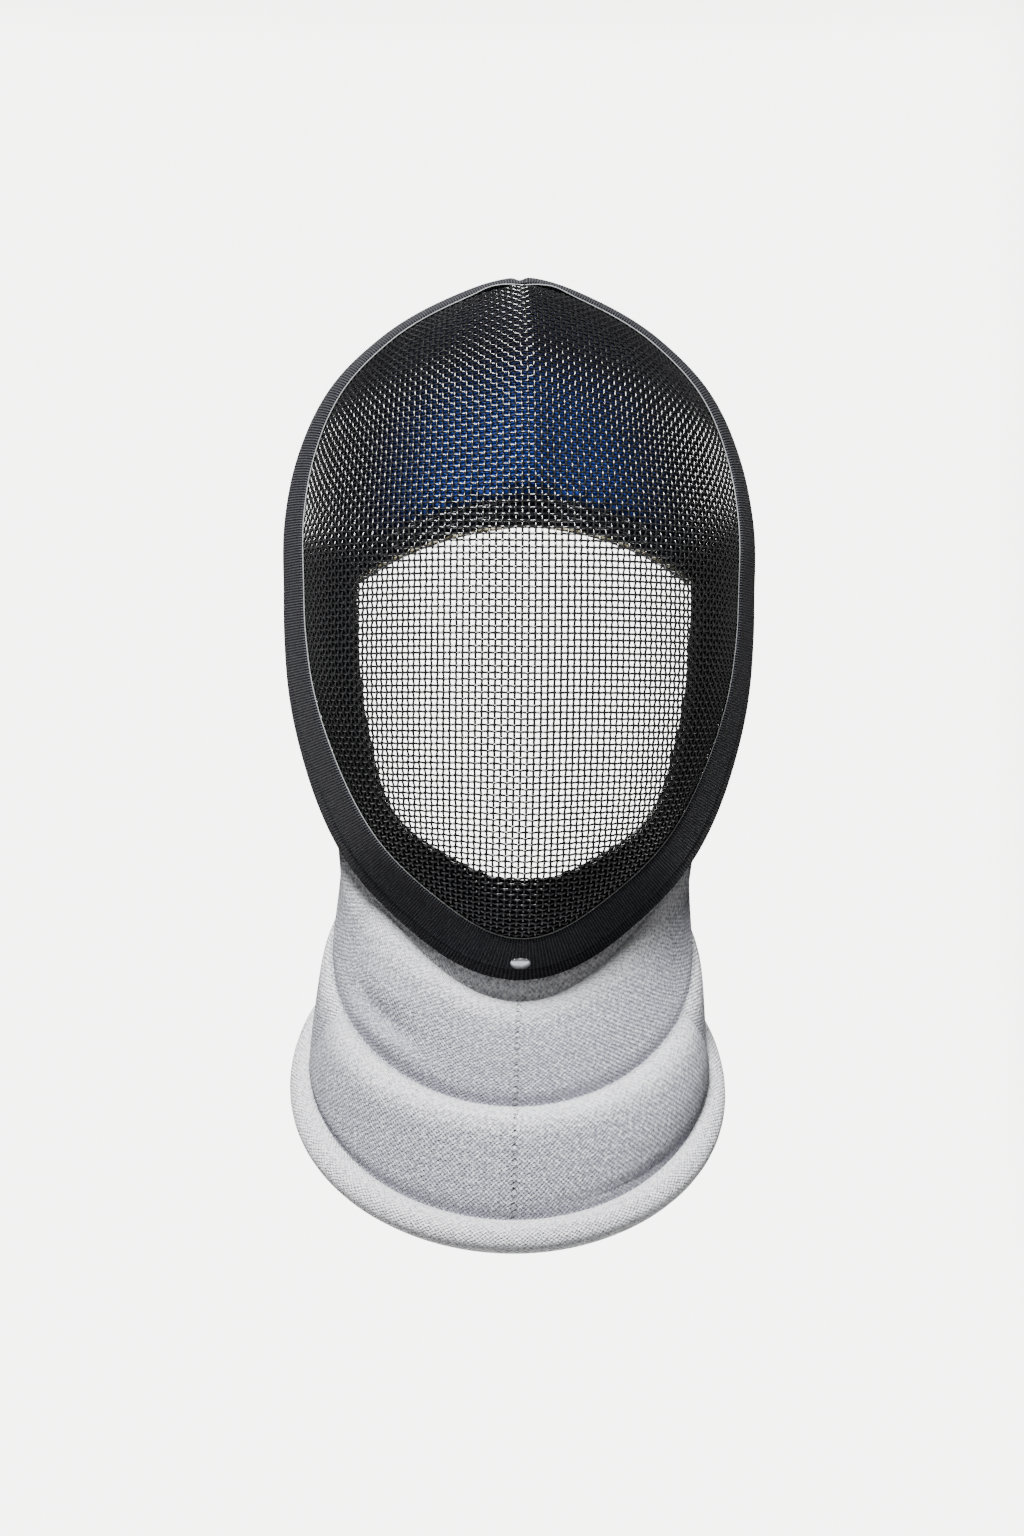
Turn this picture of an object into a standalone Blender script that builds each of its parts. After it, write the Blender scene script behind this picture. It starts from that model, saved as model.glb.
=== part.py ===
"""A fencing mask: a woven steel face guard in a webbing trim, a padded liner, and a quilted throat bib.

Metres, +Z up. The face guard looks along -Y. The origin is the seat of the wearer's crown, on the
underside of the head pad. Left and right are those of someone who looks at the mask from the front.
"""
import math

import bmesh
import bpy
import numpy as np

# Face guard. The rim is the line where the trim's front edge crosses the mesh.
HALF_WIDTH = 0.106          # centre line to the rim, at the widest level
RIM_UP = 0.1420             # widest level up to the rim at the crown
RIM_DOWN = 0.1763           # widest level down to the rim at the chin
WIDEST_DROP = 0.125         # head seat down to the widest level
SEAT_BACK = 0.080           # foremost point of the mesh back to the head seat
DEPTH_SIDE = 0.083          # foremost point back to the rim, at the sides
DEPTH_TOP = 0.081           # the same at the crown
DEPTH_CHIN = 0.059          # the same at the chin
FULLNESS = 0.953            # how far round the quarter ellipse of a section the rim lies
MESH_WALL = 0.002           # two 1 mm wires, one over the other

# The ridge that runs up the brow to the crown.
KEEL_SLOPE = 0.42           # how steeply each flank falls back
KEEL_REACH = 0.028          # how far the flanks reach from the centre line
KEEL_ROUND = 0.004          # radius-like rounding of the ridge
KEEL_START = 0.45           # share of RIM_UP over which the ridge grows

# Trim, a band of webbing folded over the edge of the mesh.
TRIM_TOP = 0.020            # width of the band at the crown
TRIM_SIDE = 0.027
TRIM_CHIN = 0.040
TRIM_LAYER = 0.0015         # one layer of webbing
TRIM_LIP = 0.20             # share of the width by which the inner layer stays back
MESH_TUCK = 0.62            # share of the width by which the mesh runs into the fold
SLOPE_TOP = math.radians(70)      # band's slope back from the picture plane
SLOPE_SIDE = math.radians(69)
SLOPE_CHIN = math.radians(57)
CURL_TOP = math.radians(20)       # how much more it turns across its width, at the crown

RIVET_DIAMETER = 0.0105
RIVET_HEIGHT = 0.0026
RIVET_FLAT = 0.38           # share of the diameter that is flat on top
RIVET_PLACE = 0.52          # share of the chin band's width
RIVET_LIFT = 0.0006         # the band bulges under it between its facets

# Liner
PAD_GAP = 0.0012            # to the mesh, whose facets cut the corner of its curve
HEAD_PAD = 0.014            # thickness
BINDING = 0.011             # thickness of the edge binding
BINDING_HEIGHT = 0.013
BROW_GAP = 0.0018           # pad to binding at the mesh: they close up behind it
SIDE_PAD = 0.008
CHIN_PAD = 0.008
BROW_UP = 0.019             # widest level up to the binding's lower edge, at the centre
BROW_DROP = 0.025           # how far that edge falls at BROW_HALF
BROW_HALF = 0.084
PAD_INSET = 0.985           # share of the way to the rim where the pads stop
PAD_ROUND = 0.0025
SIDE_START = 8.0            # degrees below the widest level, round the rim, where a side pad begins
SIDE_END = 44.0             # and where it ends and the chin pad begins

# Tongue behind the head
TONGUE_ANGLE = 13.0         # degrees either side of the crown, round the rim
TONGUE_WALL = 0.005
TONGUE_BACK = 0.092
TONGUE_FALL = 0.100
TONGUE_TURN = math.radians(78)
TONGUE_TIP = 0.016          # how far the rounded end reaches past its corners

# Bib
BIB_DROP = 0.1125           # chin edge of the trim down to the lower seam, at the front
BIB_HALF_WIDTH = 0.0985
BIB_RISE = 0.073            # how far a seam climbs from the front to the sides
BIB_FORWARD = 0.053         # how far the front comes forward from the trim's chin edge
BIB_BACK = 0.016            # how far the sides stand behind it
BIB_WALL = 0.005            # at the seams
BIB_PUFF = 0.0065           # extra thickness in the middle of a channel
BIB_WING_PUFF = 0.003
COLLAR_WALL = 0.003
COLLAR_PLACE = 0.74         # share of the trim's width where the collar is sewn in
BIB_ANGLE = 45.0            # degrees either side of the chin where the bib hangs from the rim
LEDGE_SHARE = 1.08          # share of the trim's width where the padding begins, at the sides
LEDGE_DROP = 0.016          # how much lower the padding begins at the front
LEDGE_FORWARD = 0.006
LEDGE_REACH = 0.80          # share of the way round over which that drop fades out
LEDGE_PANEL = 0.52          # share of the way round that the front panel takes at its top
HEM_RADIUS = 0.0080
SWAY = 0.0035               # the soft bib hangs this much to the left

CLEARANCE = 0.0003
SEAM_GAP = 0.0004
FACET_GAP = 0.0008          # behind the band, where its facets cut the corner of its curve

SEGMENTS = 84               # round the rim
PANEL_COLUMNS = 26
WING_COLUMNS = 7
BROW_COLUMNS = 20

# Rim outline: angle above the horizontal at the widest level, and the radius there as a share of the
# ellipse through HALF_WIDTH and RIM_UP or RIM_DOWN.
RIM_COLUMNS = ("angle", "radius_share")
RIM_TABLE = (
    (-90, 1.000),
    (-75, 0.969),
    (-60, 0.984),
    (-45, 0.992),
    (-30, 1.003),
    (-15, 1.002),
    (0, 1.000),
    (15, 1.020),
    (30, 1.040),
    (45, 1.043),
    (60, 1.012),
    (75, 0.989),
    (90, 1.000),
)

# Window between the pads: inner edge of the side and chin pads, as a share of the way to the rim.
WINDOW_COLUMNS = ("angle", "share")
WINDOW_TABLE = (
    (-90, 0.85),
    (-75, 0.89),
    (-60, 0.92),
    (-45, 0.86),
    (-25, 0.80),
    (0, 0.77),
)

# Seams of the bib, from the top down. Lengths are shares of BIB_DROP, BIB_HALF_WIDTH, BIB_RISE,
# BIB_FORWARD, BIB_BACK and SWAY. "wrap" is how far the row goes round, in degrees from the front, and
# "panel" the share of it that the front panel takes before the wings begin.
BIB_COLUMNS = ("row", "drop", "width", "rise", "forward", "back", "sway", "wrap", "panel")
BIB_TABLE = (
    ("upper_seam", 0.542, 0.914, 1.000, 0.547, 0.62, 0.75, 112, 0.60),
    ("lower_seam", 1.000, 1.000, 0.960, 1.000, 1.00, 1.20, 118, 0.76),
)
LEDGE, UPPER_SEAM, LOWER_SEAM = range(3)

# Across one padded channel: place between its seams, and thickness as a share of the full puff.
PUFF_COLUMNS = ("place", "thickness")
PUFF_TABLE = (
    (0.00, 0.00),
    (0.08, 0.50),
    (0.22, 0.86),
    (0.48, 1.00),
    (0.78, 0.74),
    (0.93, 0.36),
    (1.00, 0.00),
)

STEEL_BLACK = ((0.012, 0.012, 0.014, 1.0), 0.35, 0.6)
WEBBING_BLACK = ((0.010, 0.010, 0.012, 1.0), 0.85, 0.0)
LINER_BLUE = ((0.010, 0.025, 0.110, 1.0), 0.80, 0.0)
LINER_BLACK = ((0.008, 0.009, 0.014, 1.0), 0.85, 0.0)
BIB_WHITE = ((0.80, 0.80, 0.82, 1.0), 0.75, 0.0)
RIVET_SILVER = ((0.70, 0.71, 0.74, 1.0), 0.22, 1.0)


def clear_scene():
    """Remove what the scene holds."""
    for obj in list(bpy.data.objects):
        bpy.data.objects.remove(obj, do_unlink=True)


def make_collection(name):
    """Give a collection for the mask's pieces."""
    collection = bpy.data.collections.new(name)
    bpy.context.scene.collection.children.link(collection)
    return collection


def make_material(name, look):
    """Give a Principled material from a colour, a roughness and a metallic value."""
    colour, roughness, metallic = look
    material = bpy.data.materials.new(name)
    material.use_nodes = True
    shader = material.node_tree.nodes["Principled BSDF"]
    shader.inputs["Base Color"].default_value = colour
    shader.inputs["Roughness"].default_value = roughness
    shader.inputs["Metallic"].default_value = metallic
    return material


def smooth_table(table, place):
    """Read a two-column table at some places, on a smooth curve that is level at both ends."""
    knots = np.array([row[0] for row in table], dtype=float)
    values = np.array([row[1] for row in table], dtype=float)
    place = np.clip(np.asarray(place, dtype=float), knots[0], knots[-1])
    slopes = np.zeros(len(knots))
    slopes[1:-1] = (values[2:] - values[:-2]) / (knots[2:] - knots[:-2])
    index = np.clip(np.searchsorted(knots, place, side="right") - 1, 0, len(knots) - 2)
    span = knots[index + 1] - knots[index]
    part = (place - knots[index]) / span
    squared = part * part
    cubed = squared * part
    start = (2 * cubed - 3 * squared + 1) * values[index]
    start_slope = (cubed - 2 * squared + part) * span * slopes[index]
    end = (3 * squared - 2 * cubed) * values[index + 1]
    end_slope = (cubed - squared) * span * slopes[index + 1]
    return start + start_slope + end + end_slope


def rim_radius(angle):
    """Radius of the rim's outline in the picture plane at an angle in radians, about the widest level."""
    above = np.sin(angle)
    height = np.where(above >= 0, RIM_UP, RIM_DOWN)
    ellipse = 1.0 / np.sqrt((np.cos(angle) / HALF_WIDTH) ** 2 + (above / height) ** 2)
    folded = np.degrees(np.arcsin(np.clip(above, -1, 1)))
    return ellipse * smooth_table(RIM_TABLE, folded)


def blend_round(angle, side, top, chin):
    """Blend three values round the rim."""
    above = np.sin(angle)
    end = np.where(above >= 0, top, chin)
    return side + (end - side) * above ** 2


def dome_y(x, z):
    """Y of the mesh's middle surface at a point of the picture plane."""
    x = np.asarray(x, dtype=float)
    up = np.asarray(z, dtype=float) + WIDEST_DROP
    angle = np.arctan2(up, np.abs(x))
    share = np.minimum(FULLNESS * np.hypot(x, up) / rim_radius(angle), 0.999)
    full = 1.0 - math.sqrt(1.0 - FULLNESS ** 2)
    depth = blend_round(angle, DEPTH_SIDE, DEPTH_TOP, DEPTH_CHIN) * (1.0 - np.sqrt(1.0 - share ** 2)) / full
    grown = np.clip(up / (KEEL_START * RIM_UP), 0, 1)
    slope = KEEL_SLOPE * grown ** 2 * (3 - 2 * grown)
    across = np.sqrt(x * x + KEEL_ROUND ** 2) - KEEL_ROUND
    keel = slope * KEEL_REACH * (1.0 - np.exp(-across / KEEL_REACH))
    return depth + keel - SEAT_BACK


def dome_point(x, z, inward=0.0):
    """A point of the mesh's middle surface, or that far behind it."""
    step = 0.0005
    slope_x = float(dome_y(x + step, z) - dome_y(x - step, z)) / (2 * step)
    slope_z = float(dome_y(x, z + step) - dome_y(x, z - step)) / (2 * step)
    normal = np.array((slope_x, -1.0, slope_z))
    normal /= np.linalg.norm(normal)
    return np.array((x, float(dome_y(x, z)), z)) - normal * inward


def rim_place(angle, share=1.0):
    """X and Z on the rim's outline, or on the same outline drawn smaller."""
    radius = float(rim_radius(angle)) * share
    return radius * math.cos(angle), radius * math.sin(angle) - WIDEST_DROP


def trim_width(angle):
    """Width of the band round the rim."""
    return float(blend_round(angle, TRIM_SIDE, TRIM_TOP, TRIM_CHIN))


def rim_point(angle):
    """A point of the rim."""
    x, z = rim_place(angle)
    return np.array((x, float(dome_y(x, z)), z))


def band_point(angle, share, lift=0.0):
    """A point of the band that carries the mesh on behind the rim, lifted off it outwards."""
    step = 0.002
    along = rim_point(angle + step) - rim_point(angle - step)
    outward = np.array((along[2], 0.0, -along[0])) / math.hypot(along[0], along[2])
    backward = np.array((0.0, 1.0, 0.0))
    slope = float(blend_round(angle, SLOPE_SIDE, SLOPE_TOP, SLOPE_CHIN))
    curl = float(blend_round(angle, 0.0, CURL_TOP, 0.0))
    middle = slope + curl * share / 2
    final = slope + curl * share
    across = outward * math.cos(middle) + backward * math.sin(middle)
    heading = outward * math.cos(final) + backward * math.sin(final)
    normal = np.cross(heading, along)
    normal /= np.linalg.norm(normal)
    return rim_point(angle) + across * share * trim_width(angle) + normal * lift


def rim_angles():
    """Angles round the rim. No point falls on the centre line, so a flat facet lies under the rivet."""
    return [2 * math.pi * (index + 0.5) / SEGMENTS for index in range(SEGMENTS)]


def add_object(name, bm, collection, material):
    """Turn a bmesh into one named object."""
    bmesh.ops.recalc_face_normals(bm, faces=bm.faces)
    mesh = bpy.data.meshes.new(name)
    bm.to_mesh(mesh)
    bm.free()
    mesh.materials.append(material)
    obj = bpy.data.objects.new(name, mesh)
    collection.objects.link(obj)
    mesh.shade_smooth()
    return obj


def grid_faces(bm, rows, closed):
    """Join rows of vertices with quads. A closed row meets its own start."""
    for upper, lower in zip(rows, rows[1:]):
        count = len(upper)
        for index in range(count if closed else count - 1):
            following = (index + 1) % count
            bm.faces.new((upper[index], upper[following], lower[following], lower[index]))


def turn_faces(bm, direction):
    """Make an open surface face a direction, by its middle face."""
    bm.faces.ensure_lookup_table()
    bmesh.ops.recalc_face_normals(bm, faces=bm.faces)
    total = np.zeros(3)
    for face in bm.faces:
        total += np.array(face.normal) * face.calc_area()
    if float(np.dot(total, direction)) < 0:
        bmesh.ops.reverse_faces(bm, faces=bm.faces)


def open_sheet(name, rows, direction, wall, collection, material, closed=False, centre=None, offset=-1.0):
    """An open surface through rows of points, thickened by a Solidify modifier."""
    bm = bmesh.new()
    made = [[bm.verts.new(point) for point in row] for row in rows]
    grid_faces(bm, made, closed)
    if centre is not None:
        hub = bm.verts.new(centre)
        first = made[0]
        for index in range(len(first)):
            bm.faces.new((hub, first[index], first[(index + 1) % len(first)]))
    turn_faces(bm, direction)
    mesh = bpy.data.meshes.new(name)
    bm.to_mesh(mesh)
    bm.free()
    mesh.materials.append(material)
    mesh.shade_smooth()
    obj = bpy.data.objects.new(name, mesh)
    collection.objects.link(obj)
    solid = obj.modifiers.new("wall", "SOLIDIFY")
    solid.thickness = wall
    solid.offset = offset
    return obj


def round_edges(obj, width):
    """Round the sharp edges of a pad."""
    bevel = obj.modifiers.new("round", "BEVEL")
    bevel.width = width
    bevel.segments = 1
    bevel.limit_method = "ANGLE"
    bevel.angle_limit = math.radians(50)
    return obj


def slab(name, front, back, collection, material):
    """A closed body between two grids of points with the same rows and columns."""
    bm = bmesh.new()
    fronts = [[bm.verts.new(point) for point in row] for row in front]
    backs = [[bm.verts.new(point) for point in row] for row in back]
    grid_faces(bm, fronts, False)
    grid_faces(bm, backs, False)
    edges = (
        (fronts[0], backs[0]),
        (fronts[-1], backs[-1]),
        ([row[0] for row in fronts], [row[0] for row in backs]),
        ([row[-1] for row in fronts], [row[-1] for row in backs]),
    )
    for pair in edges:
        grid_faces(bm, pair, False)
    return add_object(name, bm, collection, material)


def face_mesh(collection):
    """The woven guard as one shell: rings of the dome, then a strip that runs into the trim."""
    angles = rim_angles()
    rows = []
    for share in (0.18, 0.36, 0.53, 0.69, 0.83, 0.93, 1.0):
        row = []
        for angle in angles:
            x, z = rim_place(angle, share)
            row.append((x, float(dome_y(x, z)), z))
        rows.append(row)
    for share in (MESH_TUCK / 2, MESH_TUCK):
        rows.append([tuple(band_point(angle, share)) for angle in angles])
    centre = (0.0, float(dome_y(0.0, -WIDEST_DROP)), -WIDEST_DROP)
    material = make_material("black_steel_mesh", STEEL_BLACK)
    return open_sheet("face_mesh", rows, (0, -1, 0), MESH_WALL, collection, material,
                      closed=True, centre=centre, offset=0.0)


def trim_profile(width):
    """Cross-section of the folded webbing: share of the band's width, and distance off its middle."""
    slot = MESH_WALL / 2 + CLEARANCE
    skin = slot + TRIM_LAYER
    corner = 1.0 - TRIM_LAYER / width
    slot_end = MESH_TUCK + 2 * CLEARANCE / width
    return (
        (0.0, slot),
        (0.0, slot + 0.7 * TRIM_LAYER),
        (0.4 * TRIM_LAYER / width, skin),
        (0.35, skin),
        (0.70, skin),
        (corner, skin),
        (1.0, 0.5 * slot),
        (1.0, -0.5 * slot),
        (corner, -skin),
        (0.60, -skin),
        (TRIM_LIP, -skin),
        (TRIM_LIP, -slot),
        (slot_end, -slot),
        (slot_end, slot),
        (0.5 * MESH_TUCK, slot),
    )


def edge_trim(collection):
    """Webbing folded over the mesh's edge, all the way round."""
    bm = bmesh.new()
    sections = []
    for angle in rim_angles():
        points = [band_point(angle, share, lift) for share, lift in trim_profile(trim_width(angle))]
        sections.append([bm.verts.new(point) for point in points])
    sections.append(sections[0])
    grid_faces(bm, sections, True)
    return add_object("edge_trim", bm, collection, make_material("black_webbing", WEBBING_BLACK))


def chin_rivet(collection):
    """A domed stud on the chin band, turned about its own axis, with a small flat on top."""
    radius = RIVET_DIAMETER / 2
    flat = radius * RIVET_FLAT
    bm = bmesh.new()
    top = bm.verts.new((0, 0, RIVET_HEIGHT))
    previous = top
    steps = 4
    for index in range(steps + 1):
        turn = math.pi / 2 * index / steps
        place = flat + (radius - flat) * math.sin(turn)
        height = RIVET_HEIGHT * (0.25 + 0.75 * math.cos(turn))
        following = bm.verts.new((place, 0, height))
        bm.edges.new((previous, following))
        previous = following
    for place in (radius, 0.0):
        following = bm.verts.new((place, 0, 0))
        bm.edges.new((previous, following))
        previous = following
    mesh = bpy.data.meshes.new("chin_rivet")
    bm.to_mesh(mesh)
    bm.free()
    mesh.materials.append(make_material("bright_rivet", RIVET_SILVER))
    obj = bpy.data.objects.new("chin_rivet", mesh)
    collection.objects.link(obj)
    screw = obj.modifiers.new("turn", "SCREW")
    screw.steps = 16
    screw.render_steps = 16
    screw.use_merge_vertices = True
    screw.merge_threshold = 0.00001
    skin = MESH_WALL / 2 + CLEARANCE + TRIM_LAYER
    chin = -math.pi / 2
    half_facet = math.pi / SEGMENTS
    corners = [band_point(chin + side * half_facet, RIVET_PLACE, skin) for side in (-1, 1)]
    seat = (corners[0] + corners[1]) / 2
    out = np.array((0.0, -math.cos(SLOPE_CHIN), -math.sin(SLOPE_CHIN)))
    obj.location = seat + out * (CLEARANCE + RIVET_LIFT)
    obj.rotation_euler = (math.pi / 2 + SLOPE_CHIN, 0, 0)
    return obj


def brow_edge(x):
    """Lower edge of the head pad's binding."""
    return BROW_UP - WIDEST_DROP - BROW_DROP * (x / BROW_HALF) ** 2


def head_pad(collection):
    """The blue pad from the brow up to the crown."""
    columns = BROW_COLUMNS
    levels = (0.0, 0.20, 0.40, 0.60, 0.77, 0.90, 0.97, 1.0)
    last = math.radians(5)
    rows = []
    for level in levels:
        row = []
        for index in range(columns + 1):
            across = 2 * index / columns - 1
            low_x = across * BROW_HALF
            low_z = brow_edge(low_x) + BINDING_HEIGHT + BROW_GAP
            angle = math.pi / 2 - across * (math.pi / 2 - last)
            top_x, top_z = rim_place(angle, PAD_INSET)
            x = low_x + (top_x - low_x) * level
            z = low_z + (top_z - low_z) * level
            row.append(tuple(dome_point(x, z, MESH_WALL / 2 + PAD_GAP)))
        rows.append(row)
    material = make_material("blue_liner", LINER_BLUE)
    pad = open_sheet("head_pad", rows, (0, -1, 0), HEAD_PAD, collection, material)
    return round_edges(pad, PAD_ROUND)


def pad_binding(collection):
    """The black binding along the brow."""
    columns = BROW_COLUMNS
    rows = []
    for level in (0.0, 1.0):
        row = []
        for index in range(columns + 1):
            x = (2 * index / columns - 1) * BROW_HALF
            z = brow_edge(x) + BINDING_HEIGHT * level
            row.append(tuple(dome_point(x, z, MESH_WALL / 2 + PAD_GAP)))
        rows.append(row)
    material = make_material("black_binding", LINER_BLACK)
    pad = open_sheet("pad_binding", rows, (0, -1, 0), BINDING, collection, material)
    return round_edges(pad, PAD_ROUND)


def rim_pad(name, start, end, columns, wall, collection):
    """A pad along the rim, between two angles in degrees, from the window out to the trim."""
    rows = []
    for level in (0.0, 0.35, 0.7, 0.9, 1.0):
        row = []
        for index in range(columns + 1):
            degrees = start + (end - start) * index / columns
            angle = math.radians(degrees)
            folded = math.degrees(math.asin(math.sin(angle)))
            inner = float(smooth_table(WINDOW_TABLE, folded))
            x, z = rim_place(angle, inner + (PAD_INSET - inner) * level)
            row.append(tuple(dome_point(x, z, MESH_WALL / 2 + PAD_GAP)))
        rows.append(row)
    pad = open_sheet(name, rows, (0, -1, 0), wall, collection, make_material(name + "_cloth", LINER_BLACK))
    return round_edges(pad, PAD_ROUND)


def back_tongue(collection):
    """The sprung tongue: sewn in under the crown band, then back and down behind the head."""
    columns = 10
    across = [2 * index / columns - 1 for index in range(columns + 1)]
    angles = [math.pi / 2 - math.radians(TONGUE_ANGLE) * place for place in across]
    depth = -(MESH_WALL / 2 + CLEARANCE + TRIM_LAYER + FACET_GAP + TONGUE_WALL / 2)
    rows = []
    for share in (TRIM_LIP, 0.6, 0.98):
        rows.append([band_point(angle, share, depth) for angle in angles])
    root = rows[-1]
    corner = (root[0] + root[-1]) / 2
    middle = root[columns // 2]
    steps = 8
    for index in range(1, steps + 1):
        turn = TONGUE_TURN * index / steps
        move = np.array((0.0, TONGUE_BACK * math.sin(turn), -TONGUE_FALL * (1 - math.cos(turn))))
        ease = min(1.0, 2.0 * index / steps)
        end = max(0.0, index - steps + 1) * TONGUE_TIP
        row = []
        for place, point in zip(across, root):
            arch = corner + (middle - corner) * (1 - place ** 2)
            level = np.array((point[0], arch[1], arch[2]))
            rounded = np.array((0.0, 0.0, end * (1 - math.sqrt(1 - 0.9 * place ** 2))))
            row.append(point + (level - point) * ease + move + rounded)
        rows.append(row)
    material = make_material("black_tongue", LINER_BLACK)
    return open_sheet("back_tongue", rows, (0, 0, 1), TONGUE_WALL, collection, material, offset=0.0)


def ledge_point(turn_share):
    """Where the padding begins, just inside the chin band's rear edge and lower at the front."""
    angle = math.radians(BIB_ANGLE) * turn_share - math.pi / 2
    inside = MESH_WALL / 2 + CLEARANCE + TRIM_LAYER + FACET_GAP + BIB_WALL / 2
    fade = max(0.0, 1 - (turn_share / LEDGE_REACH) ** 2) ** 2
    return band_point(angle, LEDGE_SHARE, -inside) - np.array((0, LEDGE_FORWARD, LEDGE_DROP)) * fade


def seam_point(seam, turn_share):
    """A point on one of the seams, which lie on tilted ellipses."""
    name, drop, width, rise, forward, back, sway, wrap, panel = BIB_TABLE[seam]
    chin = band_point(-math.pi / 2, 1.0)
    turn = math.radians(wrap) * turn_share
    side = chin[1] + BIB_BACK * back
    front = chin[1] - BIB_FORWARD * forward
    x = BIB_HALF_WIDTH * width * math.sin(turn) - SWAY * sway
    y = side - (side - front) * math.cos(turn)
    z = chin[2] - BIB_DROP * drop + BIB_RISE * rise * (1 - math.cos(turn))
    return np.array((x, y, z))


def bib_point(row, turn_share):
    """A point of the bib's middle surface: a row number, and how far round, from -1 to 1."""
    if row <= UPPER_SEAM:
        start = ledge_point(turn_share)
        return start + (seam_point(0, turn_share) - start) * (row - LEDGE)
    start = seam_point(0, turn_share)
    return start + (seam_point(1, turn_share) - start) * (row - UPPER_SEAM)


def panel_edge(row):
    """Share of the way round where the front panel meets a wing."""
    shares = [LEDGE_PANEL] + [seam[-1] for seam in BIB_TABLE]
    return float(np.interp(row, (LEDGE, UPPER_SEAM, LOWER_SEAM), shares))


def bib_directions(row, turn_share):
    """The bib's outward direction, and the way down its surface, square to the row."""
    step = 0.01
    row = min(max(row, LEDGE + step), LOWER_SEAM - step)
    down = bib_point(row + step, turn_share) - bib_point(row - step, turn_share)
    along = bib_point(row, turn_share + step) - bib_point(row, turn_share - step)
    normal = np.cross(down, along)
    square = np.cross(along, normal)
    return normal / np.linalg.norm(normal), square / np.linalg.norm(square)


def quilted(name, spans, columns, channels, puff, collection, material):
    """A quilted panel: rows over the channels, and columns between the shares that spans gives a row."""
    front = []
    back = []
    for channel in channels:
        for place, thickness in PUFF_TABLE:
            if channel != channels[0] and place == 0:
                continue
            row = channel + place
            start, end = spans(row)
            front_row = []
            back_row = []
            for index in range(columns + 1):
                part = index / columns
                turn_share = start + (end - start) * part
                shape = (math.sin(math.pi * min(max(part, 0.0), 1.0))) ** 0.35
                normal = bib_directions(row, turn_share)[0]
                base = bib_point(row, turn_share)
                swell = puff * thickness * shape
                front_row.append(base + normal * (BIB_WALL / 2 + swell))
                back_row.append(base - normal * (BIB_WALL / 2))
            front.append(front_row)
            back.append(back_row)
    return slab(name, front, back, collection, material)


def bib_parts(collection):
    """Front panel, wings, collar and hem roll."""
    white = make_material("bib_front_cloth", BIB_WHITE)
    seam = SEAM_GAP / BIB_HALF_WIDTH / 2

    def front_span(row):
        edge = panel_edge(row) - seam
        return -edge, edge

    def left_span(row):
        return -1.0, -panel_edge(row) - seam

    def right_span(row):
        return panel_edge(row) + seam, 1.0

    channels = (LEDGE, UPPER_SEAM)
    quilted("bib_front", front_span, PANEL_COLUMNS, channels, BIB_PUFF, collection, white)
    quilted("bib_wing_left", left_span, WING_COLUMNS, channels, BIB_WING_PUFF, collection,
            make_material("bib_wing_left_cloth", BIB_WHITE))
    quilted("bib_wing_right", right_span, WING_COLUMNS, channels, BIB_WING_PUFF, collection,
            make_material("bib_wing_right_cloth", BIB_WHITE))
    bib_collar(collection)
    bib_hem(collection)


def collar_places():
    """Places round the collar that match the columns of the panel and the wings below it."""
    wing = np.linspace(LEDGE_PANEL, 1.0, WING_COLUMNS + 1)[1:]
    front = np.linspace(-LEDGE_PANEL, LEDGE_PANEL, PANEL_COLUMNS + 1)
    return list(-wing[::-1]) + list(front) + list(wing)


def bib_collar(collection):
    """The strip that joins the bib to the inside of the chin band."""
    middle = -(MESH_WALL / 2 + CLEARANCE + TRIM_LAYER + FACET_GAP + COLLAR_WALL / 2)
    front = []
    back = []
    for share in (COLLAR_PLACE, 0.97):
        angles = [math.radians(BIB_ANGLE) * place - math.pi / 2 for place in collar_places()]
        front.append([band_point(angle, share, middle + COLLAR_WALL / 2) for angle in angles])
        back.append([band_point(angle, share, middle - COLLAR_WALL / 2) for angle in angles])
    front_row = []
    back_row = []
    for place in collar_places():
        normal, down = bib_directions(LEDGE, place)
        base = bib_point(LEDGE, place) - down * FACET_GAP
        front_row.append(base + normal * COLLAR_WALL / 2)
        back_row.append(base - normal * COLLAR_WALL / 2)
    front.append(front_row)
    back.append(back_row)
    return slab("bib_collar", front, back, collection, make_material("bib_collar_cloth", BIB_WHITE))


def bib_hem(collection):
    """The padded roll along the lower edge."""
    points = 37
    curve = bpy.data.curves.new("bib_hem", "CURVE")
    curve.dimensions = "3D"
    curve.bevel_depth = HEM_RADIUS
    curve.bevel_resolution = 3
    curve.use_fill_caps = True
    spline = curve.splines.new("POLY")
    spline.points.add(points - 1)
    for index in range(points):
        turn_share = 2 * index / (points - 1) - 1
        down = bib_directions(LOWER_SEAM, turn_share)[1]
        x, y, z = bib_point(LOWER_SEAM, turn_share) + down * (HEM_RADIUS + SEAM_GAP)
        spline.points[index].co = (x, y, z, 1.0)
    curve.materials.append(make_material("bib_hem_cloth", BIB_WHITE))
    obj = bpy.data.objects.new("bib_hem", curve)
    collection.objects.link(obj)
    return obj


def main():
    """Build the mask."""
    clear_scene()
    collection = make_collection("fencing_mask")
    face_mesh(collection)
    edge_trim(collection)
    chin_rivet(collection)
    head_pad(collection)
    pad_binding(collection)
    rim_pad("side_pad_right", -SIDE_START, -SIDE_END, 8, SIDE_PAD, collection)
    rim_pad("side_pad_left", 180 + SIDE_START, 180 + SIDE_END, 8, SIDE_PAD, collection)
    rim_pad("chin_pad", -SIDE_END - 1, SIDE_END - 179, 16, CHIN_PAD, collection)
    back_tongue(collection)
    bib_parts(collection)


main()
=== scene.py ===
"""Looks of the fencing mask: woven wires, ribbed webbing, padded liner and quilted bib.

Metres, in the frame's own axes: +Z up, and the face guard looks along -Y.
"""
import math

import bmesh
import bpy
import numpy as np
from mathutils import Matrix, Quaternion, Vector


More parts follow.
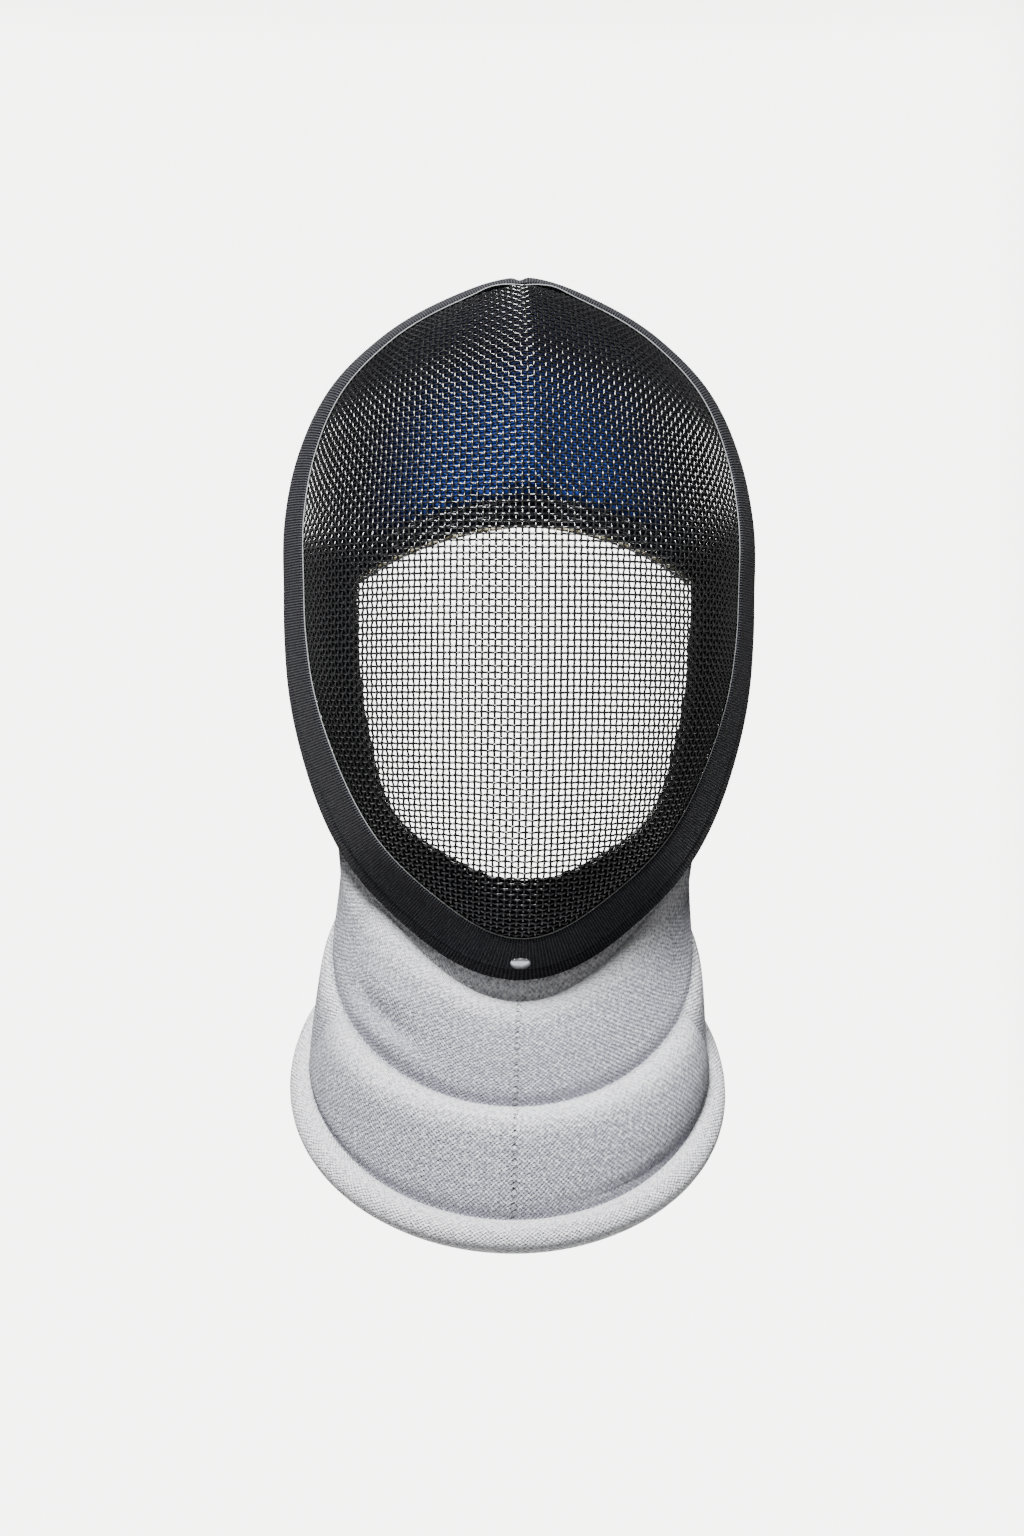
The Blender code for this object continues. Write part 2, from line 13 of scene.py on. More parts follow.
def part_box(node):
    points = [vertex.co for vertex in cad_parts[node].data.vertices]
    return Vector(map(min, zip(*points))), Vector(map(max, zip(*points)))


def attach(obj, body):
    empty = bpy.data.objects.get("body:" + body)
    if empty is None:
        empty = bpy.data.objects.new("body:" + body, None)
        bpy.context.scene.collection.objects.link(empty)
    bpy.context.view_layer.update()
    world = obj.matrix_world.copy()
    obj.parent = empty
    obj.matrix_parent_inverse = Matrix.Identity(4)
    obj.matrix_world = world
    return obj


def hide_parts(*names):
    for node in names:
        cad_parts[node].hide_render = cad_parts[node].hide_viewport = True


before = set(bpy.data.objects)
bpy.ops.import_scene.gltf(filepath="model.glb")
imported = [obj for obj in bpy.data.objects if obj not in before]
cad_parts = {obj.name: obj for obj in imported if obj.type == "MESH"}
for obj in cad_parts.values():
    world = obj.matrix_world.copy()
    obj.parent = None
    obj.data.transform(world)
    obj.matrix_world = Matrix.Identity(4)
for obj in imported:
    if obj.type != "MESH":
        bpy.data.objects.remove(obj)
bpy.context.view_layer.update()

# Sizes of the face guard and its trim, as the solids have them
HALF_WIDTH = 0.106
RIM_UP = 0.1420
RIM_DOWN = 0.1763
WIDEST_DROP = 0.125
SEAT_BACK = 0.080
DEPTH_SIDE = 0.083
DEPTH_TOP = 0.081
DEPTH_CHIN = 0.059
FULLNESS = 0.953
MESH_WALL = 0.002
KEEL_SLOPE = 0.42
KEEL_REACH = 0.028
KEEL_ROUND = 0.004
KEEL_START = 0.45
TRIM_TOP = 0.020
TRIM_SIDE = 0.027
TRIM_CHIN = 0.040
TRIM_LAYER = 0.0015
TRIM_LIP = 0.20
SLOPE_TOP = math.radians(70)
SLOPE_SIDE = math.radians(69)
SLOPE_CHIN = math.radians(57)
CURL_TOP = math.radians(20)
CLEARANCE = 0.0003
FACET_GAP = 0.0008

# Weave of the mesh
PITCH = 0.0031
WIRE_RADIUS = 0.00059
WAVE = 0.00055
WIRE_SIDES = 6
WIRE_START = -0.098  # level of the row that stays straight across the face
NET_COLUMNS = 52  # wires that are tried each side of the middle, and above and below
NET_ROWS_UP = 62
NET_ROWS_DOWN = 84
NET_EDGE = 1.12  # share of the way to the rim where the net stops growing
NET_WIDEST = 0.14
SHORTEST_RUN = 3  # crossings that a wire has at least
WIRE_REACH = 1.02  # share of the way to the rim where the wires stop, under the trim

# Trim: its steps round the rim, its folded section and its piping
TRIM_STEPS = 720
PROFILE_WIDTH = 0.028  # band width that the folded section is drawn for
PROFILE_EASE = 0.0002
SLOT_EASE = 0.00005
PROFILE_BULGE = 0.0004
CREASE_SPREAD = 0.03
TAPE_RETURN = 0.05  # where the fold's inner side lies on the cloth
PIPING_PLACE = -0.014
PIPING_RADIUS = 0.00028
PIPING_LIFT = 0.0013
CREASE_PLACE = 0.70  # share of the chin band's width where its fold line runs
CREASE_DEPTH = 0.0009
NOTCH_DEPTH = 0.0016  # where the webbing's two ends meet at the crown
NOTCH_WIDTH = 0.9
NOTCH_ANGLE = 90.5
PIPING_RISE = (0.0011, 6.0, 3.0)  # waves beside the crown: height, degrees away, and spread
PIPING_DIP = (0.0008, 2.0)  # and at it: depth and spread

STUD_RADIUS = 0.00525
STUD_HEIGHT = 0.0026

# Liner
PAD_GAP = 0.0012
HEAD_PAD = 0.014
BINDING = 0.011
BINDING_HEIGHT = 0.013
SIDE_PAD = 0.008
CHIN_PAD = 0.008
BROW_UP = 0.019
BROW_DROP = 0.025
BROW_HALF = 0.084
BROW_END = 5  # degrees above the widest level where the brow's pad ends
BINDING_GAP = 0.0006
PAD_REACH = 1.015  # the liner cloth goes on past the rim, under the trim
PAD_REACH_CHIN = 1.024
SIDE_START = -8.5
SIDE_END = 44.0
CHIN_LAP = 3.0  # degrees by which the chin pad runs under each cheek pad
END_ROUND = 400
FOOT_ROUND = 7
BROW_FOOT_ROUND = 40
BINDING_FOOT_ROUND = 4
PAD_EASE = 0.0002
PAD_EDGE = 0.15  # thickness left at a pad's edge, as a share
CHEEK_GAP = 0.0014  # the cheek pads lie a little behind the brow's, which lap over them
PAD_BEVEL = 0.03  # share by which the pads round the window stand back from its edge
THREAD_SPAN = 0.98
CORD_RADIUS = 0.00050
STITCH_RADIUS = 0.00022
BROW_THREADS = (  # rise over the binding's lower edge, and depth behind the mesh
    (-0.0004, PAD_GAP + 0.0012),
    (BINDING_HEIGHT * 0.40, PAD_GAP),
    (BINDING_HEIGHT * 0.85, PAD_GAP),
)

# Tongue
TONGUE_ANGLE = 13.0
TONGUE_WALL = 0.005
TONGUE_BACK = 0.092
TONGUE_FALL = 0.100
TONGUE_TURN = math.radians(78)
TONGUE_TIP = 0.016
TONGUE_SIDE_ROUND = 12
TONGUE_END_ROUND = 16
TONGUE_EDGE = 0.2  # thickness left at its edge, as a share
TONGUE_SEAM = 0.35  # sewn lines: depth as a share, place from the middle, and width
TONGUE_SEAM_PLACE = 0.36
TONGUE_SEAM_WIDTH = 0.02

# Bib
BIB_DROP = 0.1125
BIB_HALF_WIDTH = 0.0985
BIB_RISE = 0.073
BIB_FORWARD = 0.053
BIB_BACK = 0.016
BIB_WALL = 0.005
BIB_PUFF = 0.0140
BIB_WING_PUFF = 0.0025
SEAM_PULL = 0.0018  # how far the stitches pull the cloth in at a seam
SEAM_LAP = 0.0016  # how far neighbouring panels run under each other
WAIST = 0.008  # how far the bib's sides draw in towards the neck
WAIST_FROM = 0.35  # share of the way round where that starts, and over how much it grows
WAIST_SPREAD = 0.40
WAIST_ROW = 0.45  # row from which it fades, and over how many rows
WAIST_TALL = 0.75
SIDE_FALL = (1.0, 0.55, 0.35)  # how gently the padding thins to a panel's sides, at each seam
COLLAR_WALL = 0.003
COLLAR_STATIONS = (0.74, 0.86, 0.97)  # shares of the band's width where the strip is laid on it
BIB_ANGLE = 45.0
LEDGE_SHARE = 1.08
LEDGE_DROP = 0.016
LEDGE_FORWARD = 0.006
LEDGE_REACH = 0.80
LEDGE_PANEL = 0.52
HEM_RADIUS = 0.0080
HEM_END_STEPS = 5.0
HEM_END_LEFT = 0.02
CELL_WIDTH = 0.0024  # honeycomb weave of the bib's cloth
CELL_HEIGHT = 0.0020
CELL_STRAY = 0.0016  # how far its threads wander
PLAIN_CLOTH_PAINTED_LIGHT = 0.34  # painted light: how much paler the strip and the hem are painted than a channel's face, whose tone is painted shade; on the strip it also offsets the mask's shadow
SWAY = 0.0035
SEAM_GAP = 0.0004

# Outline of the rim: degrees up from its widest level, and radius as a share of the ellipse's
RIM_TABLE = (
    (-90, 1.000),
    (-75, 0.969),
    (-60, 0.984),
    (-45, 0.992),
    (-30, 1.003),
    (-15, 1.002),
    (0, 1.000),
    (15, 1.020),
    (30, 1.040),
    (45, 1.043),
    (60, 1.012),
    (75, 0.989),
    (90, 1.000),
)

# Edge of the window between the pads: degrees up from the widest level, and share of the rim's
WINDOW_TABLE = (
    (-90, 0.83),
    (-75, 0.875),
    (-60, 0.92),
    (-45, 0.86),
    (-25, 0.80),
    (-8, 0.785),
    (4, 0.772),
)

# The bib's upper and lower seam: drop, width, rise at the sides, reach forward and back, and
# sideways sway, each as a share of its size above, then degrees round, and the share of them
# that the front panel takes
BIB_TABLE = (
    (0.542, 0.914, 1.000, 0.547, 0.62, 0.75, 112, 0.60),
    (1.000, 1.000, 0.960, 1.000, 1.00, 1.20, 118, 0.76),
)
LEDGE, UPPER_SEAM, LOWER_SEAM = range(3)

# Across one padded channel: place between its seams, and thickness as a share of the full puff
PUFF_TABLE = (
    (0.00, 0.00),
    (0.04, 0.40),
    (0.10, 0.74),
    (0.18, 0.94),
    (0.28, 1.00),
    (0.50, 0.84),
    (0.76, 0.54),
    (0.93, 0.26),
    (1.00, 0.00),
)

# Dents and swellings of the bib's front: row, place round, their spread, and how far out
FOLD_TABLE = (
    (0.72, -0.43, 0.050, 0.12, -0.0085),
    (0.88, -0.42, 0.050, 0.14, 0.0030),
    (0.52, -0.40, 0.080, 0.12, 0.0025),
    (0.30, 0.46, 0.060, 0.07, -0.0025),
    (1.60, 0.40, 0.160, 0.16, 0.0016),
    (1.35, -0.35, 0.140, 0.14, 0.0012),
    (0.60, 0.15, 0.120, 0.18, 0.0010),
    (1.92, 0.35, 0.035, 0.30, -0.0030),
)

# The blue liner is painted darker, to black, away from its middle, painted shade: that one's level, half its
# width and height, and the share of them where the change starts
BLUE_PAINTED_SHADE = (-0.085, 0.092, 0.080, 0.30)

# Grain of each surface in cells a metre, pitch of its ribs, and depth of its relief
WEAR_CELLS = 900.0
WIRE_ROUGH = 0.10
WIRE_ROUGH_SPREAD = 0.16
RIB_PITCH = 0.0013
THREAD_PITCH = 0.0017
LINT_CELLS = 700.0
WEBBING_BUMP = 0.0010
NAP_CELLS = 1400.0
NAP_BUMP = 0.0005
PATCH_CELLS = 45.0
STRAY_CELLS = 260.0
FUZZ_CELLS = 1500.0
GRAIN_CELLS = 520.0
CLOUD_CELLS = 90.0
CLOTH_BUMP = 0.0013
SEAM_WIDTH = (0.0003, 0.0016)
SEAM_BUMP = 0.0014
STITCH_PITCH = 0.0030
SCUFF_CELLS = 600.0
SCUFF_BUMP = 0.0001
TWIST_CELLS = 2500.0
TWIST_BUMP = 0.0003
PAPER_CELLS = 60.0

# Across one padded channel: place between its seams, and how much paler the cloth is painted there, a
# painted highlight on the channel's upper part, which faces the light
PAINTED_HIGHLIGHT_TABLE = (
    (0.00, 0.05),
    (0.05, 0.34),
    (0.16, 0.32),
    (0.40, 0.03),
    (0.80, 0.00),
)
SEAM_SHADE_START = 0.86  # where the painted shade along the lower seam begins, and its depth
SEAM_SHADE_DEPTH = 0.22

# Stage and camera
FLOOR_LEVEL = -1.60
WALL_GLOW = 5.8
ROOM_GLOW = 0.13
GLOW_BACK = (0.2, 0.7)  # over which the glow starts behind the mask
GLOW_WIDE = (1.0, 1.5)  # and over which it ends to the sides, and above and below
GLOW_TALL = (1.3, 1.9)
ROOM_RADIUS = 4.5
ROOM_BEND = 1.2
ROOM_HEIGHT = 6.0
MASK_MIDDLE = (0.0, 0.0, -0.2)

# Lights: name, place, aim, width and height, and watts
LIGHT_TABLE = (
    ("key_top", (-0.24, -0.90, 0.92), (0.0, 0.0, -0.30), (0.50, 0.36), 104),
    ("front_soft", (-0.10, -2.4, -0.45), (0.0, 0.0, -0.32), (1.2, 0.8), 5),
    ("front_glint", (0.15, -1.9, 0.9), MASK_MIDDLE, (0.10, 0.10), 3),
    ("left_strip", (-1.5, -0.7, 0.2), MASK_MIDDLE, (0.2, 1.2), 4),
    ("right_strip", (1.5, -0.7, 0.2), MASK_MIDDLE, (0.2, 1.2), 2),
)
CAMERA_DISTANCE = 1.60
CAMERA_TURN = -2.2
CAMERA_LIFT = 0.0
CAMERA_ROLL = 0.3
CAMERA_AIM = (-0.0044, 0.0, -0.2196)
SENSOR = 36.0
FRAME_HEIGHT = 0.753  # what the frame's height spans at the aim


def smooth_table(table, place):
    """Read a two-column table at some places, on a smooth curve that is level at both ends."""
    knots = np.array([row[0] for row in table], dtype=float)
    values = np.array([row[1] for row in table], dtype=float)
    place = np.clip(np.asarray(place, dtype=float), knots[0], knots[-1])
    slopes = np.zeros(len(knots))
    slopes[1:-1] = (values[2:] - values[:-2]) / (knots[2:] - knots[:-2])
    index = np.clip(np.searchsorted(knots, place, side="right") - 1, 0, len(knots) - 2)
    span = knots[index + 1] - knots[index]
    part = (place - knots[index]) / span
    squared = part * part
    cubed = squared * part
    start = (2 * cubed - 3 * squared + 1) * values[index]
    start_slope = (cubed - 2 * squared + part) * span * slopes[index]
    end = (3 * squared - 2 * cubed) * values[index + 1]
    end_slope = (cubed - squared) * span * slopes[index + 1]
    return start + start_slope + end + end_slope


def rim_radius(angle):
    """Radius of the rim's outline in the picture plane, about the widest level."""
    above = np.sin(angle)
    height = np.where(above >= 0, RIM_UP, RIM_DOWN)
    ellipse = 1.0 / np.sqrt((np.cos(angle) / HALF_WIDTH) ** 2 + (above / height) ** 2)
    folded = np.degrees(np.arcsin(np.clip(above, -1, 1)))
    return ellipse * smooth_table(RIM_TABLE, folded)


def blend_round(angle, side, top, chin):
    """Blend three values round the rim."""
    above = np.sin(angle)
    end = np.where(above >= 0, top, chin)
    return side + (end - side) * above ** 2


def rim_share(x, z):
    """How far a point of the picture plane lies from the widest level's middle to the rim."""
    up = z + WIDEST_DROP
    return np.hypot(x, up) / rim_radius(np.arctan2(up, np.abs(x)))


def dome_y(x, z):
    """Y of the mesh's middle surface. Past the rim it goes straight on."""
    x = np.asarray(x, dtype=float)
    up = np.asarray(z, dtype=float) + WIDEST_DROP
    angle = np.arctan2(up, np.abs(x))
    reach = np.hypot(x, up) / rim_radius(angle)
    share = FULLNESS * np.minimum(reach, 1.0)
    end = math.sqrt(1.0 - FULLNESS ** 2)
    beyond = np.maximum(reach - 1.0, 0.0) * FULLNESS ** 2 / end
    depth = (1.0 - np.sqrt(1.0 - share ** 2) + beyond) / (1.0 - end)
    depth = depth * blend_round(angle, DEPTH_SIDE, DEPTH_TOP, DEPTH_CHIN)
    grown = np.clip(up / (KEEL_START * RIM_UP), 0, 1)
    slope = KEEL_SLOPE * grown ** 2 * (3 - 2 * grown)
    across = np.sqrt(x * x + KEEL_ROUND ** 2) - KEEL_ROUND
    keel = slope * KEEL_REACH * (1.0 - np.exp(-across / KEEL_REACH))
    return depth + keel - SEAT_BACK


def dome_slopes(x, z):
    """How fast the surface falls back along X and along Z."""
    step = 0.0004
    along_x = (dome_y(x + step, z) - dome_y(x - step, z)) / (2 * step)
    along_z = (dome_y(x, z + step) - dome_y(x, z - step)) / (2 * step)
    return along_x, along_z


def dome_normals(x, z):
    """The surface's outward direction, one unit long."""
    along_x, along_z = dome_slopes(x, z)
    normal = np.stack((along_x, -np.ones_like(along_x), along_z), axis=-1)
    return normal / np.linalg.norm(normal, axis=-1, keepdims=True)


def dome_points(x, z, inward=0.0):
    """Points of the mesh's middle surface, or that far behind it."""
    x = np.asarray(x, dtype=float)
    z = np.asarray(z, dtype=float)
    depth = np.asarray(inward)[..., None]
    return np.stack((x, dome_y(x, z), z), axis=-1) - dome_normals(x, z) * depth


def rim_place(angle, share=1.0):
    """X and Z on the rim's outline, or on the same outline drawn smaller."""
    radius = rim_radius(angle) * share
    return radius * np.cos(angle), radius * np.sin(angle) - WIDEST_DROP


def rim_points(angle):
    """Points of the rim."""
    x, z = rim_place(angle)
    return np.stack((x, dome_y(x, z), z), axis=-1)


def trim_width(angle):
    """Width of the band round the rim."""
    return blend_round(angle, TRIM_SIDE, TRIM_TOP, TRIM_CHIN)


def band_points(angle, share, lift=0.0):
    """Points of the band that carries the mesh on behind the rim, lifted off it outwards."""
    angle = np.asarray(angle, dtype=float)
    step = 0.002
    along = rim_points(angle + step) - rim_points(angle - step)
    flat = np.hypot(along[..., 0], along[..., 2])
    outward = np.stack((along[..., 2] / flat, np.zeros_like(flat), -along[..., 0] / flat), axis=-1)
    backward = np.array((0.0, 1.0, 0.0))
    slope = blend_round(angle, SLOPE_SIDE, SLOPE_TOP, SLOPE_CHIN)
    curl = blend_round(angle, 0.0, CURL_TOP, 0.0)
    middle = (slope + curl * share / 2)[..., None]
    final = (slope + curl * share)[..., None]
    across = outward * np.cos(middle) + backward * np.sin(middle)
    heading = outward * np.cos(final) + backward * np.sin(final)
    normal = np.cross(heading, along)
    normal /= np.linalg.norm(normal, axis=-1, keepdims=True)
    width = np.asarray(share * trim_width(angle))[..., None]
    return rim_points(angle) + across * width + normal * lift


def ledge_points(place):
    """Where the bib's padding begins, behind the chin band's rear edge and lower at the front."""
    angle = math.radians(BIB_ANGLE) * place - math.pi / 2
    inside = MESH_WALL / 2 + CLEARANCE + TRIM_LAYER + FACET_GAP + BIB_WALL / 2
    fade = np.maximum(0.0, 1 - (place / LEDGE_REACH) ** 2) ** 2
    drop = np.stack((0 * fade, LEDGE_FORWARD * fade, LEDGE_DROP * fade), axis=-1)
    return band_points(angle, LEDGE_SHARE, -inside) - drop


def seam_points(seam, place):
    """Points on one of the bib's seams, which lie on tilted ellipses."""
    drop, width, rise, forward, back, sway, wrap = BIB_TABLE[seam][:-1]
    chin = band_points(-math.pi / 2, 1.0)
    turn = math.radians(wrap) * place
    side = chin[1] + BIB_BACK * back
    front = chin[1] - BIB_FORWARD * forward
    x = BIB_HALF_WIDTH * width * np.sin(turn) - SWAY * sway
    y = side - (side - front) * np.cos(turn)
    z = chin[2] - BIB_DROP * drop + BIB_RISE * rise * (1 - np.cos(turn))
    return np.stack((x, y, z), axis=-1)


def bib_points(row, place):
    """Points of the bib's middle surface: a row number, and how far round, from -1 to 1."""
    place = np.asarray(place, dtype=float)
    if row <= UPPER_SEAM:
        start = ledge_points(place)
        return start + (seam_points(0, place) - start) * (row - LEDGE)
    start = seam_points(0, place)
    return start + (seam_points(1, place) - start) * (row - UPPER_SEAM)


def bib_directions(row, place):
    """The bib's outward direction, and the way down its surface, square to the row."""
    step = 0.01
    row = min(max(row, LEDGE + step), LOWER_SEAM - step)
    down = bib_points(row + step, place) - bib_points(row - step, place)
    along = bib_points(row, place + step) - bib_points(row, place - step)
    normal = np.cross(down, along)
    square = np.cross(along, normal)
    normal /= np.linalg.norm(normal, axis=-1, keepdims=True)
    return normal, square / np.linalg.norm(square, axis=-1, keepdims=True)


def panel_edge(row):
    """Share of the way round where the front panel meets a wing."""
    shares = [LEDGE_PANEL] + [seam[-1] for seam in BIB_TABLE]
    return float(np.interp(row, (LEDGE, UPPER_SEAM, LOWER_SEAM), shares))


def new_object(name, vertices, faces, material, smooth=True, uvs=None):
    """A mesh object from arrays. uvs gives each vertex its place on the cloth, in metres."""
    mesh = bpy.data.meshes.new(name)
    mesh.from_pydata([tuple(v) for v in vertices], [], [tuple(f) for f in faces])
    mesh.materials.append(material)
    mesh.update()
    if uvs is not None:
        layer = mesh.uv_layers.new(name="cloth")
        index = np.empty(len(mesh.loops), dtype=np.int32)
        mesh.loops.foreach_get("vertex_index", index)
        layer.data.foreach_set("uv", np.asarray(uvs, dtype=np.float32)[index].ravel())
    obj = bpy.data.objects.new(name, mesh)
    bpy.context.scene.collection.objects.link(obj)
    if smooth:
        mesh.shade_smooth()
    return obj


def grid_faces(rows, columns, closed_rows=False, closed_columns=False, start=0):
    """Quads of a grid of vertices that were added row by row."""
    faces = []
    for row in range(rows if closed_rows else rows - 1):
        below = (row + 1) % rows
        for column in range(columns if closed_columns else columns - 1):
            right = (column + 1) % columns
            faces.append((start + row * columns + column, start + row * columns + right,
                          start + below * columns + right, start + below * columns + column))
    return faces


def slab_faces(rows, columns):
    """Faces of a closed body between two grids, whose vertices follow one another."""
    size = rows * columns
    faces = grid_faces(rows, columns)
    faces += [tuple(reversed(face)) for face in grid_faces(rows, columns, start=size)]
    border = (list(range(columns)) + [row * columns + columns - 1 for row in range(1, rows)]
              + [(rows - 1) * columns + index for index in range(columns - 2, -1, -1)]
              + [row * columns for row in range(rows - 2, 0, -1)])
    for index, current in enumerate(border):
        following = border[(index + 1) % len(border)]
        faces.append((current, following, following + size, current + size))
    return faces


def rounding(edge):
    """A quarter circle's height: 0 at the edge, and 1 from one step in."""
    return np.sqrt(np.clip(1 - (1 - np.clip(edge, 0, 1)) ** 2, 0, 1))


def face_out(obj):
    """Turn a closed mesh's faces outwards."""
    bm = bmesh.new()
    bm.from_mesh(obj.data)
    bmesh.ops.recalc_face_normals(bm, faces=bm.faces)
    if bm.calc_volume(signed=True) < 0:
        bmesh.ops.reverse_faces(bm, faces=bm.faces)
    bm.to_mesh(obj.data)
    bm.free()


def keep(obj, slot, *nodes, padded=None):
    """Ride a piece on the body, and hide the parts that it stands for. Its slot is not used."""
    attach(obj, "root")
    if nodes:
        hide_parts(*nodes)
    return obj


# Materials

def start_material(name, colour, roughness, metallic=0.0):
    """A material with a Principled shader, and its node tree."""
    material = bpy.data.materials.new(name)
    material.use_nodes = True
    tree = material.node_tree
    shader = tree.nodes["Principled BSDF"]
    shader.inputs["Base Color"].default_value = (*colour, 1.0)
    shader.inputs["Roughness"].default_value = roughness
    shader.inputs["Metallic"].default_value = metallic
    return material, tree, shader


def add_node(tree, kind, **values):
    """A node with some of its sockets or settings given."""
    node = tree.nodes.new(kind)
    for key, value in values.items():
        if key in node.inputs:
            node.inputs[key].default_value = value
        else:
            setattr(node, key, value)
    return node


def colour_ramp(tree, source, stops):
    """A colour ramp over a value: (place, colour) for each stop."""
    ramp = tree.nodes.new("ShaderNodeValToRGB")
    elements = ramp.color_ramp.elements
    while len(elements) < len(stops):
        elements.new(0.5)
    for element, (place, colour) in zip(elements, stops):
        element.position = place
        element.color = (*colour, 1.0)
    tree.links.new(source, ramp.inputs["Fac"])
    return ramp.outputs["Color"]


def math_node(tree, operation, first, second=None):
    """A Math node over sockets or numbers."""
    node = tree.nodes.new("ShaderNodeMath")
    node.operation = operation
    for index, value in enumerate((first, second)):
        if value is None:
            continue
        if isinstance(value, (int, float)):
            node.inputs[index].default_value = value
        else:
            tree.links.new(value, node.inputs[index])
    return node.outputs["Value"]


def added(tree, first, second):
    """Sum of two sockets or numbers."""
    return math_node(tree, "ADD", first, second)


def times(tree, first, second):
    """Product of two sockets or numbers."""
    return math_node(tree, "MULTIPLY", first, second)


def inverse(tree, value):
    """What is missing from 1."""
    return math_node(tree, "SUBTRACT", 1.0, value)


def add_bump(tree, shader, height, distance, strength=1.0, under=None):
    """Bump from a height between 0 and 1, over an earlier bump if there is one."""
    bump = add_node(tree, "ShaderNodeBump", Distance=distance, Strength=strength)
    tree.links.new(height, bump.inputs["Height"])
    if under is not None:
        tree.links.new(under, bump.inputs["Normal"])
    tree.links.new(bump.outputs["Normal"], shader.inputs["Normal"])
    return bump.outputs["Normal"]


def wave(tree, value, pitch):
    """A sine over a length: 0 to 1 and back each pitch."""
    sine = math_node(tree, "SINE", times(tree, value, 2 * math.pi / pitch))
    return added(tree, times(tree, sine, 0.5), 0.5)


def ramp_between(tree, value, start, end):
    """0 at the start, 1 at the end, and smooth between."""
    span = tree.nodes.new("ShaderNodeMapRange")
    span.interpolation_type = "SMOOTHSTEP"
    span.inputs["From Min"].default_value = start
    span.inputs["From Max"].default_value = end
    tree.links.new(value, span.inputs["Value"])
    return span.outputs["Result"]


def noise_over(tree, place, cells, detail, **values):
    """Noise between 0 and 1, with about so many cells a metre."""
    noise = add_node(tree, "ShaderNodeTexNoise", Scale=cells, Detail=detail, **values)
    tree.links.new(place, noise.inputs["Vector"])
    return noise.outputs["Fac"]


def object_place(tree):
    """Place in the object's own axes, in metres."""
    return tree.nodes.new("ShaderNodeTexCoord").outputs["Object"]


def parts_of(tree, vector):
    """The three parts of a vector."""
    split = tree.nodes.new("ShaderNodeSeparateXYZ")
    tree.links.new(vector, split.inputs["Vector"])
    return split.outputs["X"], split.outputs["Y"], split.outputs["Z"]


def cloth_place(tree):
    """U and V on the cloth, in metres: as one vector and one by one."""
    uv = add_node(tree, "ShaderNodeUVMap", uv_map="cloth").outputs["UV"]
    u, v = parts_of(tree, uv)[:2]
    return uv, u, v


def steel_material():
    """Black painted wire, with a little wear."""
    material, tree, shader = start_material("painted_wire", (0.004, 0.004, 0.005), 0.3)
    shader.inputs["Specular IOR Level"].default_value = 0.75
    wear = noise_over(tree, object_place(tree), WEAR_CELLS, 3.0)
    colour = colour_ramp(tree, wear, (
        (0.35, (0.002, 0.002, 0.002)),
        (0.62, (0.005, 0.005, 0.006)),
        (0.80, (0.03, 0.03, 0.032)),
    ))
    tree.links.new(colour, shader.inputs["Base Color"])
    rough = added(tree, times(tree, wear, WIRE_ROUGH_SPREAD), WIRE_ROUGH)
    tree.links.new(rough, shader.inputs["Roughness"])
    return material


def webbing_material():
    """Charcoal webbing: fine ribs across the band, threads along it, and lint."""
    material, tree, shader = start_material("ribbed_webbing", (0.012, 0.012, 0.015), 0.82)
    shader.inputs["Specular IOR Level"].default_value = 0.2
    shader.inputs["Sheen Weight"].default_value = 0.04
    shader.inputs["Sheen Roughness"].default_value = 0.4
    place, u, v = cloth_place(tree)
    ribs = wave(tree, u, RIB_PITCH)
    knots = times(tree, ribs, wave(tree, v, THREAD_PITCH))
    weave = added(tree, times(tree, ribs, 0.6), times(tree, knots, 0.4))
    lint = noise_over(tree, place, LINT_CELLS, 4.0)
    height = added(tree, weave, times(tree, lint, 0.5))
    add_bump(tree, shader, height, WEBBING_BUMP)
    # colour follows the relief: the rib hollows are painted darker, painted shade, and the lint varies the
    # tone
    colour = colour_ramp(tree, times(tree, height, 0.7), (
        (0.15, (0.001, 0.001, 0.002)),
        (0.50, (0.008, 0.008, 0.012)),
        (0.85, (0.052, 0.052, 0.064)),
    ))
    tree.links.new(colour, shader.inputs["Base Color"])
    return material


def liner_material(name, dark, light, fade=None):
    """Brushed liner cloth with a soft nap. fade gives the ellipse round which its colour is painted darker
    to black, painted shade:
    the middle's level, half its width and height, and where the change starts."""
    material, tree, shader = start_material(name, light, 0.9)
    shader.inputs["Specular IOR Level"].default_value = 0.15
    shader.inputs["Sheen Weight"].default_value = 0.05
    shader.inputs["Sheen Roughness"].default_value = 0.5
    place = object_place(tree)
    fine = noise_over(tree, place, NAP_CELLS, 3.0)
    broad = noise_over(tree, place, PATCH_CELLS, 4.0)
    mixed = added(tree, times(tree, fine, 0.45), times(tree, broad, 0.55))
    if fade is not None:
        level, wide, high, start = fade
        x, _, z = parts_of(tree, place)
        out = math_node(tree, "DIVIDE", x, wide)
        up = math_node(tree, "DIVIDE", math_node(tree, "SUBTRACT", z, level), high)
        away = math_node(tree, "SQRT", added(tree, times(tree, out, out), times(tree, up, up)))
        # painted shade: the colour is darkened towards black outside the ellipse
        mixed = times(tree, mixed, inverse(tree, ramp_between(tree, away, start, 1.0)))
    black = tuple(0.12 * part for part in dark)
    colour = colour_ramp(tree, mixed, ((0.05, black), (0.30, dark), (0.70, light)))
    tree.links.new(colour, shader.inputs["Base Color"])
    add_bump(tree, shader, fine, NAP_BUMP, 0.8)
    return material


